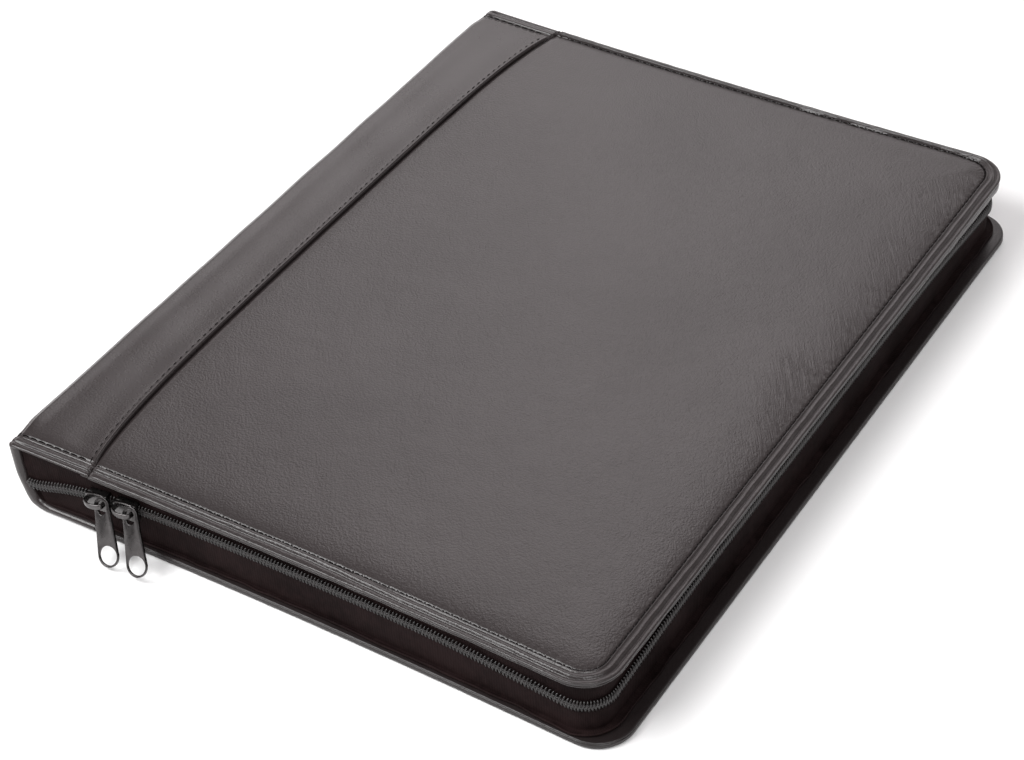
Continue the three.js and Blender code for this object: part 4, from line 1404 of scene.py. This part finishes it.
def slider_body():
    face = -COIL_THICKNESS / 2 - GAP
    outline = through([(-6, -1.5), (-5.6, -3.0), (-1, -4.0), (3.6, -4.1), (5, -3.7), (5, 0),
                       (5, 3.7), (3.6, 4.1), (-1, 4.0), (-5.6, 3.0), (-6, 1.5), (-6, 0),
                       (-6, -1.5)], 60)[:-1]
    points, faces = cut_plate([outline.tolist()], SLIDER_PLATE, 0.35)
    domed = 0.3 * np.clip(1 - (points[:, 0] / 6.5) ** 2, 0, 1) * np.clip(
        1 - (points[:, 2] / 4.3) ** 2, 0, 1)
    points[:, 1] += np.where(points[:, 1] < 0, -domed, 0) + face - SLIDER_PLATE / 2
    plate = (points, faces)
    flanges = []
    for sign in (-1, 1):
        bar = cut_plate([[(-5.2, 2.55), (4.2, 2.55), (4.2, 3.75), (-5.2, 3.45)]],
                        COIL_THICKNESS + 0.7, 0.22)
        bar[0][:, 1] += face + (COIL_THICKNESS + 0.7) / 2 - 0.2
        bar[0][:, 2] *= sign
        flanges.append(bar)
    half = BAIL_SPAN / 2 - BAIL_THICKNESS / 2
    arch = through([(-half, 0.9), (-half, -1.0), (-half + 0.35, -2.9), (-half / 3, -4.1),
                    (half / 3, -4.15), (half - 0.45, -3.4), (half, -1.9), (half, 0.9)], 40)
    tangent = unit(np.gradient(arch, axis=0))
    out = np.column_stack([tangent[:, 1], -tangent[:, 0]])
    turn = np.arange(16) * 2 * math.pi / 16
    wide = np.sign(np.sin(turn)) * np.abs(np.sin(turn)) ** 0.6 * 1.2
    deep = np.sign(np.cos(turn)) * np.abs(np.cos(turn)) ** 0.7 * BAIL_THICKNESS / 2
    rings = np.stack([
        arch[:, None, 0] + out[:, None, 0] * deep[None],
        arch[:, None, 1] + out[:, None, 1] * deep[None] + face - SLIDER_PLATE,
        BAIL_RAISE + wide[None] + 0 * arch[:, None, 0]], -1)
    return gathered(plate, *flanges, (rings.reshape(-1, 3), skin(rings)))


slider_part = slider_body()
for number in (1, 2):
    x = SLIDER_AT + (number - 1) * SLIDER_PITCH
    rise = float(zip_level(np.array(x + 5.0)) - zip_level(np.array(x - 5.0)))
    slope = math.atan2(rise, 10.0)
    lean = np.array([[math.cos(slope), 0, -math.sin(slope)], [0, 1, 0],
                     [math.sin(slope), 0, math.cos(slope)]])
    seat = np.array([x, side_bow(x) + float(tape_inset(np.array(x))) - GAP
                     - COIL_THICKNESS / 2, float(zip_level(np.array(x)))])
    slider = build(f"slider_{number}", seat + slider_part[0] @ lean.T, slider_part[1], GUNMETAL,
                   sharp=40, replaced=[f"zip_slider_{number}"])
    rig.slot(slider, "gunmetal")

# %% [markdown]
# ## The pulls
#
# Each pull is a flat tapered plate with a slot for the bail at its head and a wide oval hole at
# its tip. It swings on the bail, so it rides on its own body. The middle of its eye is the
# joint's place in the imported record, and its lean and swing are those of the solid.

# %% Build the pulls
PULL_LENGTH = 24.0
PULL_LEAN = math.radians(-28)
PULL_SWING = math.radians(-21.5)
HOLE_MIDDLE = -PULL_LENGTH + 4.8

pull_outline = (oval(0, 0, 3.5, 3.5, 0, 180, 22) + [(-3.85, -6.5), (-4.35, -13.0)]
                + oval(0, HOLE_MIDDLE, 4.8, 4.8, 180, 180, 30) + [(4.35, -13.0), (3.85, -6.5)])
eye_hole = oval(0, 0, 2, 2, 0, 180, 18) + oval(0, -1.6, 2, 2, 180, 180, 18)
tip_hole = oval(0, HOLE_MIDDLE - 0.1, 4.15, 3.85, 0, 360, 40)
pull_part = cut_plate([pull_outline, eye_hole, tip_hole], 1.1, 0.22)
turn_x = Matrix.Rotation(PULL_LEAN, 3, "X")
turn_y = Matrix.Rotation(PULL_SWING, 3, "Y")
hang = np.array(turn_x @ turn_y)
joints = {joint["name"]: joint for joint in frame["joints"]}
for number in (1, 2):
    eye = np.array(joints[f"pull_{number}_swing"]["pos_m"]) * 1000 - PLAN_TO_ROW
    pull = build(f"pull_{number}", eye + pull_part[0] @ hang.T, pull_part[1], GUNMETAL,
                 body=f"pull_{number}", sharp=40, replaced=[f"zip_pull_{number}"])
    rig.slot(pull, "gunmetal")

# %% [markdown]
# ## The studio
#
# The case is shown on white paper in soft light. Smooth dark leather shows little of its own
# colour: it mirrors its surroundings in a blurred way. So the world isn't one flat white. It is
# bright low down behind the case, like a lit backdrop, has one tall narrow soft box standing in
# it, and is dim above. The swelling of each piece then picks up more or less of that. Two large
# area lights in front light the paper and the edges. The view is set to the standard transform
# so that white paper stays white.

# %% Light and floor
BACKDROP = Vector((-0.518, 0.855, 0.0))
DIM_ROOM = 0.22

floor_mesh = bpy.data.meshes.new("floor")
floor_mesh.from_pydata([(-4, -4, 0), (4, -4, 0), (4, 4, 0), (-4, 4, 0)], [], [(0, 1, 2, 3)])
floor = bpy.data.objects.new("floor", floor_mesh)
floor.location.z = -0.0003
bpy.context.scene.collection.objects.link(floor)
PAPER, tree, shader = plain("white paper", (0.92, 0.92, 0.92), 0.9)
floor_mesh.materials.append(PAPER)
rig.stage(floor)

world = bpy.data.worlds.new("soft surround")
world.use_nodes = True
tree = world.node_tree
way = put(tree, "ShaderNodeTexCoord").outputs["Generated"]
facing, sideways = (
    Value(put(tree, "ShaderNodeVectorMath", {"operation": "DOT_PRODUCT"}, way,
              axis).outputs["Value"])
    for axis in (tuple(BACKDROP), (BACKDROP.y, -BACKDROP.x, 0.0)))
height = Value(put(tree, "ShaderNodeSeparateXYZ", None, way).outputs[2])
low_band = height.spread(0.55, 0.25, 0.0, 1.4) * facing.spread(-0.1, 0.5)
soft_box = (abs(sideways).spread(0.25, 0.07) * height.spread(0.36, 0.66)
            * height.spread(0.88, 0.76) * facing.spread(0.0, 0.3, 0.0, 3.5))
background = tree.nodes["Background"].inputs
feed(low_band + soft_box + DIM_ROOM, background[1])
background[0].default_value = (1.0, 0.945, 0.955, 1)
bpy.context.scene.world = world


def soft_light(name, place_m, size, power):
    """A rectangle of light that is aimed at the origin."""
    data = bpy.data.lights.new(name, "AREA")
    data.shape = "RECTANGLE"
    data.size, data.size_y = size
    data.energy = power
    lamp = bpy.data.objects.new(name, data)
    lamp.location = place_m
    lamp.rotation_euler = (-Vector(place_m)).to_track_quat("-Z", "Y").to_euler()
    bpy.context.scene.collection.objects.link(lamp)


for name, place_m, size, power in (("front left", (-0.9, -1.1, 1.7), (1.4, 1.2), 52),
                                   ("front right", (1.1, -1.1, 2.0), (1.2, 1.2), 30)):
    soft_light(name, place_m, size, power)
bpy.context.scene.view_settings.view_transform = "Standard"
bpy.context.scene.view_settings.look = "None"
print("lights:", [o.name for o in bpy.data.objects if o.type == "LIGHT"])

# %% Write the sizes and finish
new_low, new_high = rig.bounds()
with open("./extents.json", "w") as sizes:
    json.dump({"cad": [list(cad_low), list(cad_high)], "visual": [list(new_low), list(new_high)]},
              sizes)
print("visual box:", [round(v, 4) for v in new_high - new_low], "m")
